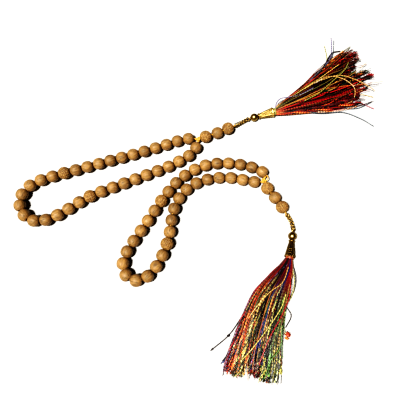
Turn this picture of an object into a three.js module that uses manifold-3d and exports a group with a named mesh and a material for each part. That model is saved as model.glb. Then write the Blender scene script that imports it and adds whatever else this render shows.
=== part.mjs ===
// Two strands of wooden prayer beads lying flat on a table, in millimetres, +Z up.
// Each strand is a loop of 34 beads on one cord, closed by a knot. A tail of three beads
// follows, then a chain of small rings, a metal ball, a cone-shaped cap and a thread tassel.
// The origin is under the middle of the whole layout, and the table top is z = 0.
import * as THREE from "three";
import { mergeVertices } from "three/addons/utils/BufferGeometryUtils.js";
import Module from "manifold-3d";

const wasm = await Module();
wasm.setup();

// Beads. A carved bead is a little larger than a plain one.
const BEAD_RADIUS = 3.95;
const BEAD_HALF_LENGTH = 3.6;
const CARVED_RADIUS = 4.1;
const CARVED_HALF_LENGTH = 3.7;
const BORE_RADIUS = 1.2;
const BEAD_SIDES = 10;
const BEAD_LATITUDE = 36;
const BEADS_IN_LOOP = 34;
const CARVED_IN_LOOP = [11, 23];
const CARVED_IN_TAIL = [1, 3];
const BEAD_PITCH = 7.95;

// Cords and knots.
const CORD_RADIUS = 0.5;
const CORD_SIDES = 8;
const LOOP_CORD_STEPS = 72;
const TAIL_CORD_STEPS = 9;
const CORD_HEIGHT = 4;
const KNOT_RADIUS = 1.2;

// The necks that join the beads of a run into one solid, and the tunnel through them.
const NECK_RADIUS = 1.7;
const TUNNEL_RADIUS = 1;

// The chain, the ball and the cap. AHEAD sizes are measured from the eye along the cap's axis.
const RING_RADIUS = 0.95;
const RING_WIRE_RADIUS = 0.27;
const RINGS_IN_CHAIN = 7;
const EYE_RADIUS = 1.2;
const BALL_RADIUS = 2.8;
const BALL_BORE_RADIUS = 0.8;
const STEM_RADIUS = 0.35;
const RUNNING_GAP = 0.3;
const CAP_LENGTH = 10.8;
const CAP_TOP_RADIUS = 1.6;
const CAP_MOUTH_RADIUS = 3.4;
const CAP_WALL = 0.4;
const BALL_AHEAD = EYE_RADIUS + RING_WIRE_RADIUS + RUNNING_GAP + BALL_RADIUS;
const CAP_AHEAD = BALL_AHEAD + BALL_RADIUS + RUNNING_GAP;
const MOUTH_AHEAD = CAP_AHEAD + CAP_LENGTH;

// The section of a tassel, as shares of its half width and of its height, with a flat underside.
const TASSEL_SECTION = [
  [-0.7, 0],
  [0.7, 0],
  [1, 0.3],
  [0.85, 0.75],
  [0.4, 1],
  [-0.4, 1],
  [-0.85, 0.75],
  [-1, 0.3],
];

// The first strand: its loop runs to the left, and its tassel fans out to the upper right.
// A route is a list of [x, y], or [x, y, z] where it leaves the cord's height.
// A tassel station is [x, y, half width, underside, height].
const STRAND_A = {
  key: "a",
  knot: [-4.5, 40.5],
  firstBeadAt: 5.2,
  loop: [
    [-4.5, 39], [-5, 35.6], [-6.8, 31.8], [-11, 27.6], [-18.3, 23.3], [-25.5, 19.5],
    [-40, 13.5], [-54.5, 7.5], [-68.5, 2], [-76, -1.5], [-83, -5.8], [-89.5, -10.4],
    [-96.5, -14.8], [-103.8, -18], [-111.1, -18.4], [-117.6, -14.8], [-121.4, -8.1],
    [-121.3, -0.5], [-117.1, 5.9], [-110.3, 9.9], [-100, 13.5], [-84.5, 18.2], [-69, 23],
    [-53.5, 27.6], [-38.5, 32.3], [-24, 37.3], [-16.6, 40], [-9.8, 41.5], [-6, 41],
  ],
  tail: [[-3.2, 41], [0.6, 42.5], [9, 45.4], [16.8, 49], [20.8, 51.3, 3.6]],
  tailBeadsAt: [4.4, 13.1, 21.3],
  chain: [[22.2, 52, 3.4], [26.2, 54.5, 2.3], [30.05, 56.8, 2.5]],
  eye: [31.1, 57.25, 2.6],
  mouth: [49.1, 62.4, 3.5],
  tassel: [
    [50, 62.65, 2.3, 1.3, 4.4],
    [57, 66, 5.5, 0, 7.2],
    [69, 71.5, 10.2, 0, 8.2],
    [82, 77.7, 15.2, 0, 8.4],
    [94, 84.3, 19, 0, 8],
    [105, 90.8, 21.6, 0, 7],
    [114, 96.2, 20.6, 0, 6],
    [117.8, 98.6, 15.5, 0, 4.6],
  ],
};

// The second strand: its loop runs to the lower left, and its tassel hangs towards -Y.
const STRAND_B = {
  key: "b",
  knot: [39.5, 9.5],
  firstBeadAt: 6.9,
  loop: [
    [39.9, 11], [41.4, 13.2], [40.8, 15.4], [37.6, 17.3], [31, 19.9], [23, 21.8], [15.4, 22.5],
    [7.6, 22.3], [0, 20.8], [-7.4, 17.4], [-14.1, 12.8], [-20, 7.2], [-29.4, -6],
    [-37.6, -19.6], [-46.3, -33.1], [-50, -40.2], [-51.6, -48], [-47.5, -55.4], [-39.5, -56.8],
    [-33, -51.7], [-28.6, -45.1], [-25.5, -38], [-23, -30.2], [-22, -22.2], [-21, -14.4],
    [-19, -7], [-15.2, -0.1], [-9.8, 5.4], [-3, 9.1], [4.4, 11.2], [12, 12],
    [19.6, 11.6], [27, 10], [34.2, 8.5], [38, 9.1],
  ],
  tail: [[39.9, 8], [41.7, 4], [46.7, -2.4], [51, -9.2], [53.15, -12.9, 3.6]],
  tailBeadsAt: [4.3, 12.4, 20.3],
  chain: [[53.9, -14.3, 3.4], [56.4, -18.3, 2.3], [57.25, -22.55, 2.5]],
  eye: [57.35, -23.7, 2.6],
  mouth: [53.6, -41.8, 3.5],
  tassel: [
    [53.4, -42.8, 2.3, 1.3, 4.4],
    [51, -50, 5.6, 0, 7.2],
    [46, -59, 8.8, 0, 8.2],
    [40.8, -69, 12, 0, 8.4],
    [36.5, -81, 13.6, 0, 8],
    [33, -93, 14.8, 0, 7],
    [30.6, -104, 17, 0, 6],
    [29.8, -112.5, 17, 0, 4.6],
  ],
};

const WOOD = { color: 0xbf8f52, roughness: 0.6, metalness: 0 };
const CARVED_WOOD = { color: 0xc9984f, roughness: 0.7, metalness: 0 };
const GOLD_THREAD = { color: 0xd9952a, roughness: 0.6, metalness: 0 };
const GOLD_METAL = { color: 0xb9923f, roughness: 0.35, metalness: 0.9 };
const TASSEL_THREAD = { color: 0x8a2f1c, roughness: 0.7, metalness: 0 };

const PLAIN = { radius: BEAD_RADIUS, halfLength: BEAD_HALF_LENGTH, finish: WOOD };
const CARVED = { radius: CARVED_RADIUS, halfLength: CARVED_HALF_LENGTH, finish: CARVED_WOOD };
const UP = new THREE.Vector3(0, 0, 1);
const group = new THREE.Group();

function addPiece(name, geometry, finish, place = new THREE.Matrix4()) {
  const mesh = new THREE.Mesh(geometry, new THREE.MeshStandardMaterial(finish));
  mesh.name = name;
  mesh.applyMatrix4(place);
  group.add(mesh);
}

function toVector([x, y, z = CORD_HEIGHT]) {
  return new THREE.Vector3(x, y, z);
}

function curveThrough(points) {
  return new THREE.CatmullRomCurve3(points.map(toVector), false, "catmullrom", 0.5);
}

// Solids for joining and cutting.
function toSolid(geometry, place = new THREE.Matrix4()) {
  const plain = geometry.clone().applyMatrix4(place);
  plain.deleteAttribute("normal");
  plain.deleteAttribute("uv");
  const merged = mergeVertices(plain, 1e-4);
  const vertProperties = new Float32Array(merged.attributes.position.array);
  const triVerts = new Uint32Array(merged.index.array);
  return new wasm.Manifold(new wasm.Mesh({ numProp: 3, vertProperties, triVerts }));
}

function toGeometry(solid) {
  const mesh = solid.getMesh();
  const geometry = new THREE.BufferGeometry();
  geometry.setAttribute("position", new THREE.BufferAttribute(mesh.vertProperties, 3));
  geometry.setIndex(new THREE.BufferAttribute(mesh.triVerts, 1));
  geometry.computeVertexNormals();
  return geometry;
}

function joined(solids) {
  return solids.reduce((whole, solid) => whole.add(solid));
}

// A tube of regular section along a curve.
function tube(curve, radius, steps) {
  const corners = [];
  for (let k = 0; k < CORD_SIDES; k += 1) {
    const turn = (2 * Math.PI * k) / CORD_SIDES;
    corners.push(new THREE.Vector2(radius * Math.cos(turn), radius * Math.sin(turn)));
  }
  const options = { steps, bevelEnabled: false, extrudePath: curve };
  return new THREE.ExtrudeGeometry(new THREE.Shape(corners), options);
}

// A skin over rings of points that all have the same number of corners. Its ends are
// closed by flat caps, or it comes back to its first ring.
function skin(rings, looped) {
  const count = rings[0].length;
  const last = rings.length - 1;
  const position = rings.flat().flatMap((p) => [p.x, p.y, p.z]);
  const index = [];
  const bands = looped ? rings.length : last;
  for (let r = 0; r < bands; r += 1) {
    const ahead = ((r + 1) % rings.length) * count;
    for (let k = 0; k < count; k += 1) {
      const next = (k + 1) % count;
      index.push(r * count + k, r * count + next, ahead + k);
      index.push(r * count + next, ahead + next, ahead + k);
    }
  }
  for (let k = 1; k < count - 1 && !looped; k += 1) {
    index.push(0, k + 1, k);
    index.push(last * count, last * count + k, last * count + k + 1);
  }
  const geometry = new THREE.BufferGeometry();
  geometry.setAttribute("position", new THREE.Float32BufferAttribute(position, 3));
  geometry.setIndex(index);
  geometry.computeVertexNormals();
  return geometry;
}

// Half of a bead's outline, from one bore edge over the middle to the other.
function beadOutline(size) {
  const latitude = THREE.MathUtils.degToRad(BEAD_LATITUDE);
  const edge = Math.acos(BORE_RADIUS / size.radius);
  const stretch = size.halfLength / Math.sin(edge);
  const at = (angle) =>
    new THREE.Vector2(size.radius * Math.cos(angle), stretch * Math.sin(angle));
  return [-edge, -latitude, 0, latitude, edge].map(at);
}

// A round bead with its bore along Y.
function boredBead(size) {
  const outline = beadOutline(size);
  return new THREE.LatheGeometry([...outline, outline[0]], BEAD_SIDES);
}

// A bead's place: its bore follows the cord from one face to the other, and the bead is
// set half of the cord's bow towards the inside of the bend. It rests on the table.
function beadPlace(curve, at, size) {
  const whole = curve.getLength();
  const middle = curve.getPointAt(at / whole);
  const back = curve.getPointAt(Math.max(0, at - size.halfLength) / whole);
  const front = curve.getPointAt(Math.min(whole, at + size.halfLength) / whole);
  const along = front.clone().sub(back).setZ(0).normalize();
  const centre = back.add(front).multiplyScalar(0.5).add(middle).multiplyScalar(0.5);
  centre.z = size.radius;
  const turn = new THREE.Quaternion().setFromUnitVectors(new THREE.Vector3(0, 1, 0), along);
  return new THREE.Matrix4().compose(centre, turn, new THREE.Vector3(1, 1, 1));
}

function loopBeadAt(strand, number) {
  return strand.firstBeadAt + (number - 1) * BEAD_PITCH;
}

function twoDigits(number) {
  return String(number).padStart(2, "0");
}

function addLoopBead(strand, curve, number) {
  const carved = CARVED_IN_LOOP.includes(number);
  const size = carved ? CARVED : PLAIN;
  const name = `${carved ? "separator" : "bead"}_${strand.key}_${twoDigits(number)}`;
  const place = beadPlace(curve, loopBeadAt(strand, number), size);
  addPiece(name, boredBead(size), size.finish, place);
}

// The ring of corners round a curve at a length along it, upright and square to the curve.
function ringAround(curve, at, radius) {
  const whole = curve.getLength();
  const centre = curve.getPointAt(at / whole);
  const side = UP.clone().cross(curve.getTangentAt(at / whole)).normalize();
  const corners = [];
  for (let k = 0; k < CORD_SIDES; k += 1) {
    const turn = (2 * Math.PI * (k + 0.5)) / CORD_SIDES;
    const out = side.clone().multiplyScalar(Math.cos(turn)).addScaledVector(UP, Math.sin(turn));
    corners.push(out.multiplyScalar(radius / Math.cos(Math.PI / CORD_SIDES)).add(centre));
  }
  return corners;
}

// Plain beads first to last as one solid with a tunnel for the cord: the outer skin swells
// at each bead and narrows to a neck between two, and the inner skin comes back inside it.
function addBeadRun(strand, curve, run, first, last) {
  const outside = [];
  const inside = [];
  for (let number = first; number <= last; number += 1) {
    const centre = loopBeadAt(strand, number);
    const outline = beadOutline(PLAIN);
    const ends = { start: number === first, end: number === last };
    outline.forEach((point, k) => {
      const atNeck = (k === 0 && !ends.start) || (k === outline.length - 1 && !ends.end);
      if (!atNeck) {
        outside.push(ringAround(curve, centre + point.y, point.x));
      }
    });
    if (!ends.end) {
      outside.push(ringAround(curve, centre + BEAD_PITCH / 2, NECK_RADIUS));
    }
    inside.unshift(ringAround(curve, centre, TUNNEL_RADIUS));
    const next = ends.end ? centre + BEAD_HALF_LENGTH : centre + BEAD_PITCH / 2;
    inside.unshift(ringAround(curve, next, TUNNEL_RADIUS));
  }
  inside.push(ringAround(curve, loopBeadAt(strand, first) - BEAD_HALF_LENGTH, TUNNEL_RADIUS));
  addPiece(`bead_run_${strand.key}_${run}`, skin([...outside, ...inside], true), WOOD);
}

function addTailBeads(strand, curve) {
  strand.tailBeadsAt.forEach((at, index) => {
    const number = index + 1;
    const size = CARVED_IN_TAIL.includes(number) ? CARVED : PLAIN;
    const place = beadPlace(curve, at, size);
    addPiece(`tail_bead_${strand.key}_${number}`, boredBead(size), size.finish, place);
  });
}

// The basis whose X runs along a direction and whose Z is the given normal, squared up.
function basisAt(centre, along, normal) {
  const side = normal.clone().cross(along).normalize();
  const squared = along.clone().cross(side).normalize();
  return new THREE.Matrix4().makeBasis(along, side, squared).setPosition(centre);
}

function ring(radius) {
  return new THREE.TorusGeometry(radius, RING_WIRE_RADIUS, 4, 8);
}

// Rings threaded through each other, flat and upright by turns. The last one is upright.
function addChain(strand) {
  const curve = curveThrough(strand.chain);
  const rings = [];
  for (let k = 0; k < RINGS_IN_CHAIN; k += 1) {
    const share = k / (RINGS_IN_CHAIN - 1);
    const along = curve.getTangentAt(share);
    const upright = (RINGS_IN_CHAIN - 1 - k) % 2 === 0;
    const normal = upright ? UP.clone().cross(along).normalize() : UP;
    rings.push(toSolid(ring(RING_RADIUS), basisAt(curve.getPointAt(share), along, normal)));
  }
  addPiece(`chain_${strand.key}`, toGeometry(joined(rings)), GOLD_METAL);
}

// The cap's own frame: its origin is the eye, Y runs to the mouth and Z is upright.
function capPlace(strand) {
  const eye = toVector(strand.eye);
  const along = toVector(strand.mouth).sub(eye).normalize();
  const side = along.clone().cross(UP).normalize();
  return new THREE.Matrix4().makeBasis(side, along, side.clone().cross(along)).setPosition(eye);
}

function addBall(strand) {
  const half = Math.sqrt(BALL_RADIUS * BALL_RADIUS - BALL_BORE_RADIUS * BALL_BORE_RADIUS);
  const edge = Math.atan2(half, BALL_BORE_RADIUS);
  const outline = [];
  for (let k = -2; k <= 2; k += 1) {
    const angle = (edge * k) / 2;
    outline.push(new THREE.Vector2(BALL_RADIUS * Math.cos(angle), BALL_RADIUS * Math.sin(angle)));
  }
  const geometry = new THREE.LatheGeometry([...outline, outline[0]], BEAD_SIDES);
  geometry.translate(0, BALL_AHEAD, 0);
  addPiece(`ball_${strand.key}`, geometry, GOLD_METAL, capPlace(strand));
}

// A hollow cone with its mouth open, on a stem that ends in an eye.
function addCap(strand) {
  const profile = [
    [0, EYE_RADIUS - 0.1],
    [STEM_RADIUS, EYE_RADIUS - 0.1],
    [STEM_RADIUS, CAP_AHEAD],
    [CAP_TOP_RADIUS, CAP_AHEAD],
    [CAP_MOUTH_RADIUS, MOUTH_AHEAD],
    [CAP_MOUTH_RADIUS - CAP_WALL, MOUTH_AHEAD],
    [CAP_TOP_RADIUS - CAP_WALL, CAP_AHEAD + CAP_WALL],
    [0, CAP_AHEAD + CAP_WALL],
  ].map(([radius, ahead]) => new THREE.Vector2(radius, ahead));
  const shell = toSolid(new THREE.LatheGeometry(profile, 12));
  const along = new THREE.Vector3(0, 1, 0);
  const eye = toSolid(ring(EYE_RADIUS), basisAt(new THREE.Vector3(), along, UP));
  addPiece(`cap_${strand.key}`, toGeometry(shell.add(eye)), GOLD_METAL, capPlace(strand));
}

// The tassel's neck sits in the cap's mouth, and its skirt lies fanned out on the table.
function addTassel(strand) {
  const eye = toVector(strand.eye);
  const mouth = toVector(strand.mouth);
  const inside = mouth.clone().sub(eye).normalize().multiplyScalar(-1.5).add(mouth);
  const stations = [[inside.x, inside.y, 1.7, mouth.z - 1.7, 3.4], ...strand.tassel];
  const middles = stations.map(([x, y]) => new THREE.Vector3(x, y, 0));
  const rings = stations.map(([, , halfWidth, underside, height], r) => {
    const before = middles[Math.max(0, r - 1)];
    const after = middles[Math.min(stations.length - 1, r + 1)];
    const side = UP.clone().cross(after.clone().sub(before)).normalize();
    return TASSEL_SECTION.map(([across, up]) =>
      middles[r].clone().addScaledVector(side, across * halfWidth).setZ(underside + up * height),
    );
  });
  addPiece(`tassel_${strand.key}`, skin(rings, false), TASSEL_THREAD);
}

function addKnot(strand) {
  const place = new THREE.Matrix4().setPosition(toVector(strand.knot));
  const geometry = new THREE.IcosahedronGeometry(KNOT_RADIUS, 1);
  addPiece(`knot_${strand.key}`, geometry, GOLD_THREAD, place);
}

function addStrand(strand, addLoopBeads) {
  const loop = curveThrough(strand.loop);
  const tail = curveThrough(strand.tail);
  addPiece(`loop_cord_${strand.key}`, tube(loop, CORD_RADIUS, LOOP_CORD_STEPS), GOLD_THREAD);
  addKnot(strand);
  addLoopBeads(loop);
  addPiece(`tail_cord_${strand.key}`, tube(tail, CORD_RADIUS, TAIL_CORD_STEPS), GOLD_THREAD);
  addTailBeads(strand, tail);
  addChain(strand);
  addBall(strand);
  addCap(strand);
  addTassel(strand);
}

// Every bead of the first strand is a piece of its own.
addStrand(STRAND_A, (curve) => {
  for (let number = 1; number <= BEADS_IN_LOOP; number += 1) {
    addLoopBead(STRAND_A, curve, number);
  }
});

// The second strand's plain beads are joined into three runs between its two separators.
addStrand(STRAND_B, (curve) => {
  const [lower, upper] = CARVED_IN_LOOP;
  addBeadRun(STRAND_B, curve, 1, 1, lower - 1);
  addLoopBead(STRAND_B, curve, lower);
  addBeadRun(STRAND_B, curve, 2, lower + 1, upper - 1);
  addLoopBead(STRAND_B, curve, upper);
  addBeadRun(STRAND_B, curve, 3, upper + 1, BEADS_IN_LOOP);
});

export default group;
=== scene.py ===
"""Two strands of wooden prayer beads with metal caps and thread tassels, laid out on a table.

Run it as a script in Blender. It reads the frame of a solid model for the bodies that its pieces
move with and the nodes that they replace. Along the same routes it builds the turned beads, wound
cords, linked rings, pierced caps and loose tassel threads.
Lengths are in metres, +Z is up, and the table top is z = 0.
"""

import math
import random

import bpy
from bpy.props import (
    FloatProperty,
    FloatVectorProperty,
    IntProperty,
    PointerProperty,
)
from mathutils import Matrix, Vector


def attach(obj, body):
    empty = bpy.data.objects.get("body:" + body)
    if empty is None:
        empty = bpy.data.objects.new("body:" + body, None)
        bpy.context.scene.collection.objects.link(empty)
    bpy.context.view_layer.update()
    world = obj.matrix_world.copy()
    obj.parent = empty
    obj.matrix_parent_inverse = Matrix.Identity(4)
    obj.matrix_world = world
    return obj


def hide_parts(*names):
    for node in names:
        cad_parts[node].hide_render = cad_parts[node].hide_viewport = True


bl_info = {
    "name": "Prayer Bead Strands",
    "version": (1, 0, 0),
    "blender": (4, 5, 0),
    "location": "View3D > Sidebar > Prayer Beads",
    "description": "Builds two strands of wooden prayer beads with caps and tassels",
    "category": "Add Mesh",
}

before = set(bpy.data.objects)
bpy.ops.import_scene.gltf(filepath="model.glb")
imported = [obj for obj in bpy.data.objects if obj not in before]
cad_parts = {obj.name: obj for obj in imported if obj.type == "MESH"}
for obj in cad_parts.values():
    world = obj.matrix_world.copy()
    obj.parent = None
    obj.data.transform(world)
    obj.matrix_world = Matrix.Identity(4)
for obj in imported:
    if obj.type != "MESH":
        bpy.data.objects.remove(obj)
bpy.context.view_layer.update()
UP = Vector((0, 0, 1))

# ---------------------------------------------------------------------------
# The layout of the two strands
# ---------------------------------------------------------------------------

CORD_HEIGHT = 0.004
BEADS_IN_LOOP = 34
CARVED_IN_LOOP = (11, 23)
CARVED_IN_TAIL = (1, 3)
BEAD_PITCH = 0.00795

# Loop, tail, chain and strays are routes: lists of (x, y), or of (x, y, z) where a route leaves
# the cord's height. Left and right are a tassel's edges as they are seen from its cap.
#   edge_cuts     how much shorter the locks are at the right-hand and the left-hand edge
#   left_pinch    how much narrower the skirt's left-hand edge is
#   root_ends     shares of the skirt where threads leave their root's shade and reach their own
#   drift         how widely loose threads wander across the skirt
#   binding       shade of the thread round the neck
#   bow           (x, y, z, half width, half length) of the slack that stands out of the knot
#   skirt         the tassel's stations: (x, y, half width, underside, height)
#   strays        single threads that stand out, each with its shade
#   thread_knots  knots on single threads: (x, y, z, size, frayed ends, shade)
STRANDS = [
    {
        "key": "a",
        "edge_cuts": (0.32, 0.0),
        "left_pinch": 0.15,
        "root_ends": (0.03, 0.12),
        "drift": 0.38,
        "binding": "olive",
        "knot": (-0.0045, 0.0405),
        "knot_turn": 20,
        "bow": (-0.0039, 0.0404, 0.0053, 0.0009, 0.0011),
        "first_bead_at": 0.0052,
        "loop": [
            (-0.0045, 0.039), (-0.005, 0.0356), (-0.0068, 0.0318), (-0.011, 0.0276),
            (-0.0183, 0.0233), (-0.0255, 0.0195), (-0.04, 0.0135), (-0.0545, 0.0075),
            (-0.0685, 0.002), (-0.076, -0.0015), (-0.083, -0.0058), (-0.0895, -0.0104),
            (-0.0965, -0.0148), (-0.1038, -0.018), (-0.1111, -0.0184), (-0.1176, -0.0148),
            (-0.1214, -0.0081), (-0.1213, -0.0005), (-0.1171, 0.0059), (-0.1103, 0.0099),
            (-0.1, 0.0135), (-0.0845, 0.0182), (-0.069, 0.023), (-0.0535, 0.0276),
            (-0.0385, 0.0323), (-0.024, 0.0373), (-0.0166, 0.04), (-0.0098, 0.0415),
            (-0.006, 0.041),
        ],
        "tail": [
            (-0.0032, 0.041), (0.0006, 0.0425), (0.009, 0.0454), (0.0168, 0.049),
            (0.0208, 0.0513, 0.0036),
        ],
        "tail_beads_at": (0.0044, 0.0131, 0.0213),
        "chain": [(0.0222, 0.052, 0.0034), (0.0262, 0.0545, 0.0023), (0.0305, 0.057, 0.0025)],
        "eye": (0.0311, 0.05725, 0.0026),
        "mouth": (0.0491, 0.0624, 0.0035),
        "skirt": [
            (0.05, 0.06265, 0.0023, 0.0013, 0.0044), (0.057, 0.066, 0.0055, 0, 0.0072),
            (0.069, 0.0715, 0.0102, 0, 0.0082), (0.082, 0.0777, 0.0152, 0, 0.0084),
            (0.094, 0.0843, 0.019, 0, 0.008), (0.105, 0.0908, 0.0216, 0, 0.007),
            (0.114, 0.0962, 0.0228, 0, 0.006), (0.121, 0.1004, 0.0235, 0, 0.005),
        ],
        "strays": [
            ([(0.052, 0.0637, 0.005), (0.066, 0.0762, 0.006), (0.0775, 0.0885, 0.0045),
              (0.088, 0.1, 0.003), (0.0955, 0.111, 0.0015), (0.0975, 0.1215, 0.001),
              (0.0979, 0.1292, 0.0008)], "lilac"),
            ([(0.052, 0.0637, 0.005), (0.065, 0.0745, 0.006), (0.077, 0.0865, 0.004),
              (0.087, 0.0985, 0.002), (0.0925, 0.1085, 0.0012), (0.0922, 0.1215, 0.0008)],
             "olive"),
            ([(0.053, 0.0637, 0.005), (0.0685, 0.077, 0.006), (0.08, 0.0905, 0.005),
              (0.0915, 0.1035, 0.003), (0.0975, 0.1135, 0.0015), (0.0998, 0.1265, 0.0008)], "slate"),
            ([(0.053, 0.064, 0.005), (0.063, 0.0735, 0.0064), (0.0768, 0.0852, 0.006),
              (0.0868, 0.0975, 0.004), (0.096, 0.1135, 0.002), (0.1037, 0.1168, 0.001)], "black"),
            ([(0.0505, 0.0632, 0.005), (0.0515, 0.0685, 0.0052), (0.0547, 0.0722, 0.0055),
              (0.0613, 0.0732, 0.0062), (0.068, 0.0738, 0.0078), (0.078, 0.079, 0.0088)],
             "lilac"),
            ([(0.052, 0.0617, 0.004), (0.065, 0.0655, 0.004), (0.082, 0.0675, 0.003),
              (0.0965, 0.0715, 0.0018), (0.108, 0.0737, 0.001), (0.1225, 0.0667, 0.0008)], "rose"),
            ([(0.052, 0.0617, 0.004), (0.066, 0.0645, 0.004), (0.083, 0.0652, 0.0028),
              (0.0985, 0.0668, 0.0015), (0.1105, 0.067, 0.001), (0.1215, 0.0722, 0.0008)], "slate"),
            ([(0.052, 0.0617, 0.004), (0.067, 0.0632, 0.0035), (0.0845, 0.0625, 0.002),
              (0.1, 0.0635, 0.0012), (0.1125, 0.0582, 0.001), (0.1205, 0.0525, 0.0008)], "slate"),
            ([(0.053, 0.062, 0.004), (0.07, 0.066, 0.005), (0.088, 0.0685, 0.004),
              (0.101, 0.0675, 0.002), (0.113, 0.078, 0.001), (0.1235, 0.0765, 0.0008)], "gold"),
            ([(0.0835, 0.0852, 0.0088), (0.0965, 0.0893, 0.009), (0.108, 0.0868, 0.0082),
              (0.1195, 0.0825, 0.005), (0.1245, 0.0812, 0.002)], "gold"),
            ([(0.0715, 0.0782, 0.0088), (0.0868, 0.0872, 0.0095), (0.0985, 0.0868, 0.0092),
              (0.107, 0.0795, 0.0085), (0.1072, 0.0725, 0.004), (0.1, 0.0685, 0.002)], "gold"),
            ([(0.0705, 0.0682, 0.0088), (0.0812, 0.0742, 0.0095), (0.0912, 0.0835, 0.0094),
              (0.1015, 0.0938, 0.0084), (0.1065, 0.1025, 0.006)], "olive"),
        ],
        "thread_knots": [],
    },
    {
        "key": "b",
        "edge_cuts": (0.0, 0.02),
        "left_pinch": 0.2,
        "root_ends": (0.2, 0.42),
        "drift": 0.25,
        "binding": "rust",
        "knot": (0.0395, 0.0095),
        "knot_turn": 75,
        "bow": (0.0413, 0.0114, 0.0048, 0.0011, 0.0019),
        "first_bead_at": 0.0069,
        "loop": [
            (0.0399, 0.011), (0.0414, 0.0132), (0.0408, 0.0154), (0.0376, 0.0173),
            (0.031, 0.0199), (0.023, 0.0218), (0.0154, 0.0225), (0.0076, 0.0223),
            (0, 0.0208), (-0.0074, 0.0174), (-0.0141, 0.0128), (-0.02, 0.0072),
            (-0.0294, -0.006), (-0.0376, -0.0196), (-0.0463, -0.0331), (-0.05, -0.0402),
            (-0.0516, -0.048), (-0.0475, -0.0554), (-0.0395, -0.0568), (-0.033, -0.0517),
            (-0.0286, -0.0451), (-0.0255, -0.038), (-0.023, -0.0302), (-0.022, -0.0222),
            (-0.021, -0.0144), (-0.019, -0.007), (-0.0152, -0.0001), (-0.0098, 0.0054),
            (-0.003, 0.0091), (0.0044, 0.0112), (0.012, 0.012), (0.0196, 0.0116),
            (0.027, 0.01), (0.0342, 0.0085), (0.038, 0.0091),
        ],
        "tail": [
            (0.0399, 0.008), (0.0417, 0.004), (0.0467, -0.0024), (0.051, -0.0092),
            (0.05315, -0.0129, 0.0036),
        ],
        "tail_beads_at": (0.0043, 0.0124, 0.0203),
        "chain": [(0.0539, -0.0143, 0.0034), (0.0564, -0.0183, 0.0023), (0.0573, -0.02305, 0.0025)],
        "eye": (0.05735, -0.0237, 0.0026),
        "mouth": (0.0536, -0.0418, 0.0035),
        "skirt": [
            (0.0534, -0.0428, 0.0023, 0.0013, 0.0044), (0.051, -0.05, 0.0056, 0, 0.0072),
            (0.046, -0.059, 0.0088, 0, 0.0082), (0.0408, -0.069, 0.012, 0, 0.0084),
            (0.0365, -0.081, 0.0136, 0, 0.008), (0.033, -0.093, 0.0148, 0, 0.007),
            (0.0306, -0.104, 0.0168, 0, 0.006), (0.0292, -0.1125, 0.0172, 0, 0.005),
        ],
        "strays": [
            ([(0.05, -0.05, 0.004), (0.0415, -0.06, 0.004), (0.0285, -0.069, 0.003),
              (0.0214, -0.0795, 0.0018), (0.014, -0.0891, 0.0012), (0.0032, -0.0977, 0.0008)],
             "black"),
            ([(0.0545, -0.046, 0.004), (0.0565, -0.055, 0.003), (0.0548, -0.0635, 0.0018),
              (0.0495, -0.0705, 0.0012), (0.0525, -0.0775, 0.001), (0.0487, -0.0845, 0.0012)],
             "black"),
            ([(0.054, -0.046, 0.005), (0.0555, -0.056, 0.0035), (0.0535, -0.066, 0.002),
              (0.0482, -0.0735, 0.0014), (0.0475, -0.083, 0.0012), (0.0487, -0.0895, 0.001)],
             "olive"),
            ([(0.0515, -0.047, 0.0055), (0.0425, -0.055, 0.0058), (0.0335, -0.0655, 0.004),
              (0.0262, -0.0755, 0.0022), (0.0215, -0.0875, 0.0012), (0.0208, -0.096, 0.001)],
             "lilac"),
            ([(0.0515, -0.049, 0.008), (0.047, -0.0585, 0.0095), (0.0388, -0.0645, 0.0098),
              (0.0302, -0.0735, 0.008), (0.0245, -0.0815, 0.004)], "gold"),
            ([(0.0485, -0.0655, 0.0095), (0.0452, -0.0735, 0.0096), (0.0365, -0.0855, 0.009),
              (0.0262, -0.0975, 0.008), (0.0185, -0.1055, 0.002)], "yellow"),
            ([(0.0525, -0.052, 0.0066), (0.051, -0.0655, 0.0088), (0.0455, -0.0775, 0.0092),
              (0.0375, -0.0905, 0.0084), (0.031, -0.105, 0.0062)], "red"),
            ([(0.0452, -0.0835, 0.0085), (0.0435, -0.0955, 0.008), (0.0372, -0.1035, 0.0075),
              (0.0342, -0.1125, 0.004)], "leaf"),
            ([(0.029, -0.083, 0.004), (0.0215, -0.094, 0.0025), (0.0152, -0.1, 0.0014),
              (0.0092, -0.1048, 0.0008)], "navy"),
            ([(0.0298, -0.085, 0.0035), (0.0232, -0.0945, 0.002), (0.0162, -0.1005, 0.0012),
              (0.0104, -0.1042, 0.0006)], "navy"),
            ([(0.0285, -0.082, 0.003), (0.0205, -0.0925, 0.0018), (0.0145, -0.0985, 0.0008),
              (0.0101, -0.1035, 0.0005)], "black"),
        ],
        "thread_knots": [
            (0.049, -0.0882, 0.0014, 0.00042, 9, "vermilion"),
            (0.0487, -0.0905, 0.0012, 0.0003, 5, "orange"),
            (0.014, -0.0891, 0.0013, 0.00024, 0, "black"),
            (0.0042, -0.0968, 0.0009, 0.00016, 0, "black"),
        ],
    },
]

# Thread shades, as linear colours.
SHADES = {
    "maroon": (0.19, 0.008, 0.01),
    "red": (0.4, 0.018, 0.02),
    "vermilion": (0.58, 0.085, 0.028),
    "rust": (0.38, 0.1, 0.035),
    "orange": (0.7, 0.26, 0.06),
    "gold": (0.7, 0.44, 0.15),
    "yellow": (0.76, 0.62, 0.2),
    "cream": (0.82, 0.7, 0.42),
    "olive": (0.36, 0.34, 0.1),
    "leaf": (0.15, 0.27, 0.08),
    "green": (0.015, 0.13, 0.045),
    "navy": (0.015, 0.025, 0.15),
    "slate": (0.11, 0.135, 0.16),
    "lilac": (0.2, 0.17, 0.3),
    "rose": (0.42, 0.1, 0.13),
    "black": (0.02, 0.01, 0.012),
}

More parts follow.
